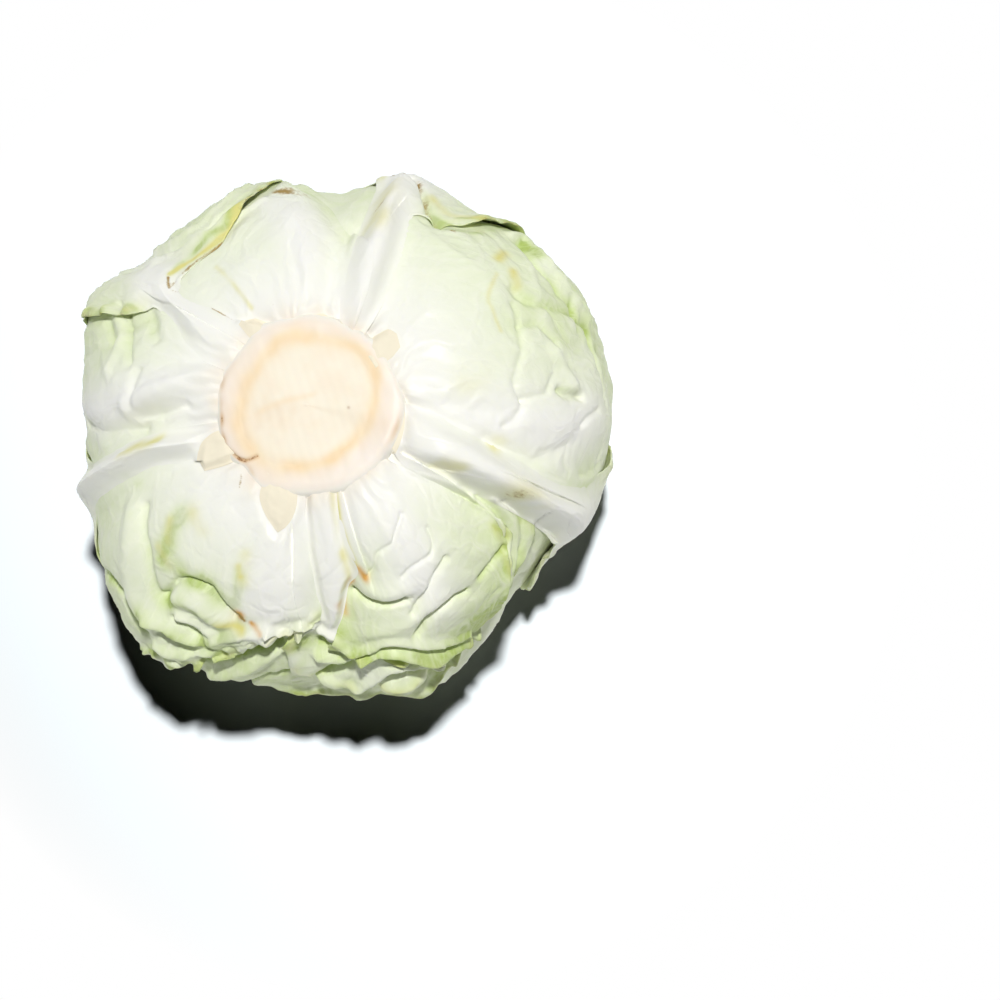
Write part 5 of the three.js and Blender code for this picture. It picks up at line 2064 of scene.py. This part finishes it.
@dataclass(frozen=True)
class Studio:
    """A pale floor, one soft lamp almost overhead, an even world and the camera."""

    floor_size: float = 6.0
    floor_colour: str = "ffffff"
    mottle_colour: str = "fbfbfb"
    mottle_mm: float = 111.1
    lit_floor: Colour = (0.149, 0.159, 0.167, 1.0)
    lit_mottle: Colour = (0.145, 0.155, 0.163, 1.0)
    lit_from_within: Point = (0.17, 0.05)
    white_beyond: Point = (0.135, 0.175)
    lamp_from: tuple[float, float, float] = (0.19, 0.1, 1.0)
    lamp_distance: float = 2.0
    lamp_size: float = 0.1
    lamp_watts: float = 34.8
    lamp_colour: tuple[float, float, float] = (1.0, 1.0, 0.975)
    sky_colour: Colour = (0.93, 0.97, 1.0, 1.0)
    glow: float = 1.3
    glow_left: float = 0.9
    glow_height: float = 0.4
    camera_from: tuple[float, float, float] = (0.184, -0.146, 0.972)
    camera_distance: float = 1.0
    focal_mm: float = 115.4
    aim_offset: Point = (-153.0 / 3205.0, 64.0 / 3205.0)

    def floor(self) -> Piece:
        """A wide flat floor at z = 0 with a faint paper-like mottle.

        Returns:
            The floor.
        """
        half = self.floor_size / 2.0
        corners = np.array([[-half, -half, 0], [half, -half, 0], [half, half, 0], [-half, half, 0]])
        floor = make_mesh("studio_floor", corners / MM, np.array([[0, 1, 2, 3]], dtype=np.int32))
        material, tree = new_material("matt_white_paper")
        at = add(tree, "TexCoord").outputs["Object"]
        mottle = add(tree, "TexNoise", {"Vector": at, "Scale": scale_of(self.mottle_mm), "Detail": 2.0})
        share = add(tree, "MapRange", {"Value": mottle, "To Max": 0.25})
        colour = coated(tree, linear(self.floor_colour), [(share, linear(self.mottle_colour))])
        bounced = add(tree, "BsdfPrincipled", {
            "Base Color": colour, "Roughness": 0.9, "Specular IOR Level": 0.0,
        })
        # What the camera sees takes light from almost overhead only, so the shadow stays deep.
        steep = coated(tree, self.lit_floor, [(share, self.lit_mottle)])
        size, blur = self.lit_from_within
        seen = add(tree, "BsdfToon", {"Color": steep, "Size": size, "Smooth": blur}, component="DIFFUSE")
        # Past the shadow it is white to the camera, so that it meets the white surroundings.
        length = add(tree, "VectorMath", {0: at}, operation="LENGTH").outputs["Value"]
        near, far = self.white_beyond
        away = add(tree, "MapRange", {"Value": length, "From Min": near, "From Max": far})
        white = add(tree, "Emission", {"Color": (1.0, 1.0, 1.0, 1.0)})
        seen = add(tree, "MixShader", {0: away, 1: seen, 2: white})
        rays = add(tree, "LightPath")
        paper = add(tree, "MixShader", {0: rays.outputs["Is Camera Ray"], 1: bounced, 2: seen})
        add(tree, "OutputMaterial", {"Surface": paper})
        floor.data.materials.append(material)
        return floor

    def lights(self) -> None:
        """One round lamp almost overhead, and a world that glows along the horizon.

        The camera and mirror-like rays see the world as white. Everything else gets a glow
        from low down, stronger on the left.
        """
        toward = Vector(self.lamp_from).normalized()
        lamp = bpy.data.lights.new("overhead_softbox", "AREA")
        lamp.shape = "DISK"
        lamp.size = self.lamp_size
        lamp.energy = self.lamp_watts
        lamp.color = self.lamp_colour
        holder = bpy.data.objects.new("overhead_softbox", lamp)
        holder.location = toward * self.lamp_distance + Vector((0.0, 0.0, HEAD.middle_height * MM))
        holder.rotation_euler = toward.to_track_quat("Z", "Y").to_euler()
        bpy.context.scene.collection.objects.link(holder)
        world = bpy.data.worlds.new("even_studio")
        world.use_nodes = True
        tree = world.node_tree
        tree.nodes.clear()
        rays = add(tree, "LightPath")
        seen = rays.outputs["Is Camera Ray"]
        for kind in ("Is Glossy Ray", "Is Transmission Ray"):
            seen = add(tree, "Math", {0: seen, 1: rays.outputs[kind]}, operation="MAXIMUM").outputs[0]
        at = add(tree, "TexCoord").outputs["Generated"]
        up = add(tree, "SeparateXYZ", {0: at}).outputs["Z"]
        low = add(tree, "MapRange", {"Value": up, "From Max": self.glow_height, "To Min": 1.0, "To Max": 0.0})
        leftward = (-self.glow_left, 0.0, 0.0)
        left = add(tree, "VectorMath", {0: at, 1: leftward}, operation="DOT_PRODUCT").outputs["Value"]
        sided = add(tree, "Math", {0: left, 1: self.glow}, operation="ADD")
        glow = add(tree, "Math", {0: low, 1: sided}, operation="MULTIPLY")
        strength = add(tree, "MapRange", {"Value": seen, "To Min": glow, "To Max": 1.0})
        sky = add(tree, "Background", {"Color": self.sky_colour, "Strength": strength})
        add(tree, "OutputWorld", {"Surface": sky})
        bpy.context.scene.world = world

    def camera(self) -> None:
        """Looks down on the head at an angle, aimed so that it stands left of the middle."""
        back = Vector(self.camera_from).normalized()
        right = Vector((0.0, 1.0, 0.0)).cross(back).normalized()
        up = back.cross(right)
        level = Matrix((right, up, back)).transposed()
        aim = Vector((*self.aim_offset, -1.0)).normalized()
        turn = aim.rotation_difference(Vector((0.0, 0.0, -1.0))).to_matrix()
        lens = bpy.data.cameras.new("studio_camera")
        lens.lens = self.focal_mm
        lens.sensor_width = 36.0
        lens.clip_start = 0.05
        camera = bpy.data.objects.new("studio_camera", lens)
        place = Vector((0.0, 0.0, HEAD.middle_height * MM)) + back * self.camera_distance
        camera.matrix_world = Matrix.Translation(place) @ (level @ turn).to_4x4()
        bpy.context.scene.collection.objects.link(camera)
        bpy.context.scene.camera = camera


def main() -> None:
    """Builds the lettuce from the outside in, then the studio."""
    logging.basicConfig(level=logging.INFO, format="%(message)s")
    studio = Studio()
    studio.camera()
    studio.lights()
    studio.floor()
    parts = [*stubs(), *leaves()]
    covers = [part.cover for part in parts]
    stem, heart = StemButt(CUT), Heart(SKIN)
    built = [(part, part.build(covers[:i], covers[i + 1 :])) for i, part in enumerate(parts)]
    built += [(stem, stem.build(covers)), (heart, heart.build(covers, stem))]
    for part, piece in built:
        part.dress(piece)
        LOG.info("%s: %d faces", piece.name, len(piece.data.polygons))
    bpy.context.scene.view_settings.view_transform = "Standard"


if __name__ == "__main__":
    main()
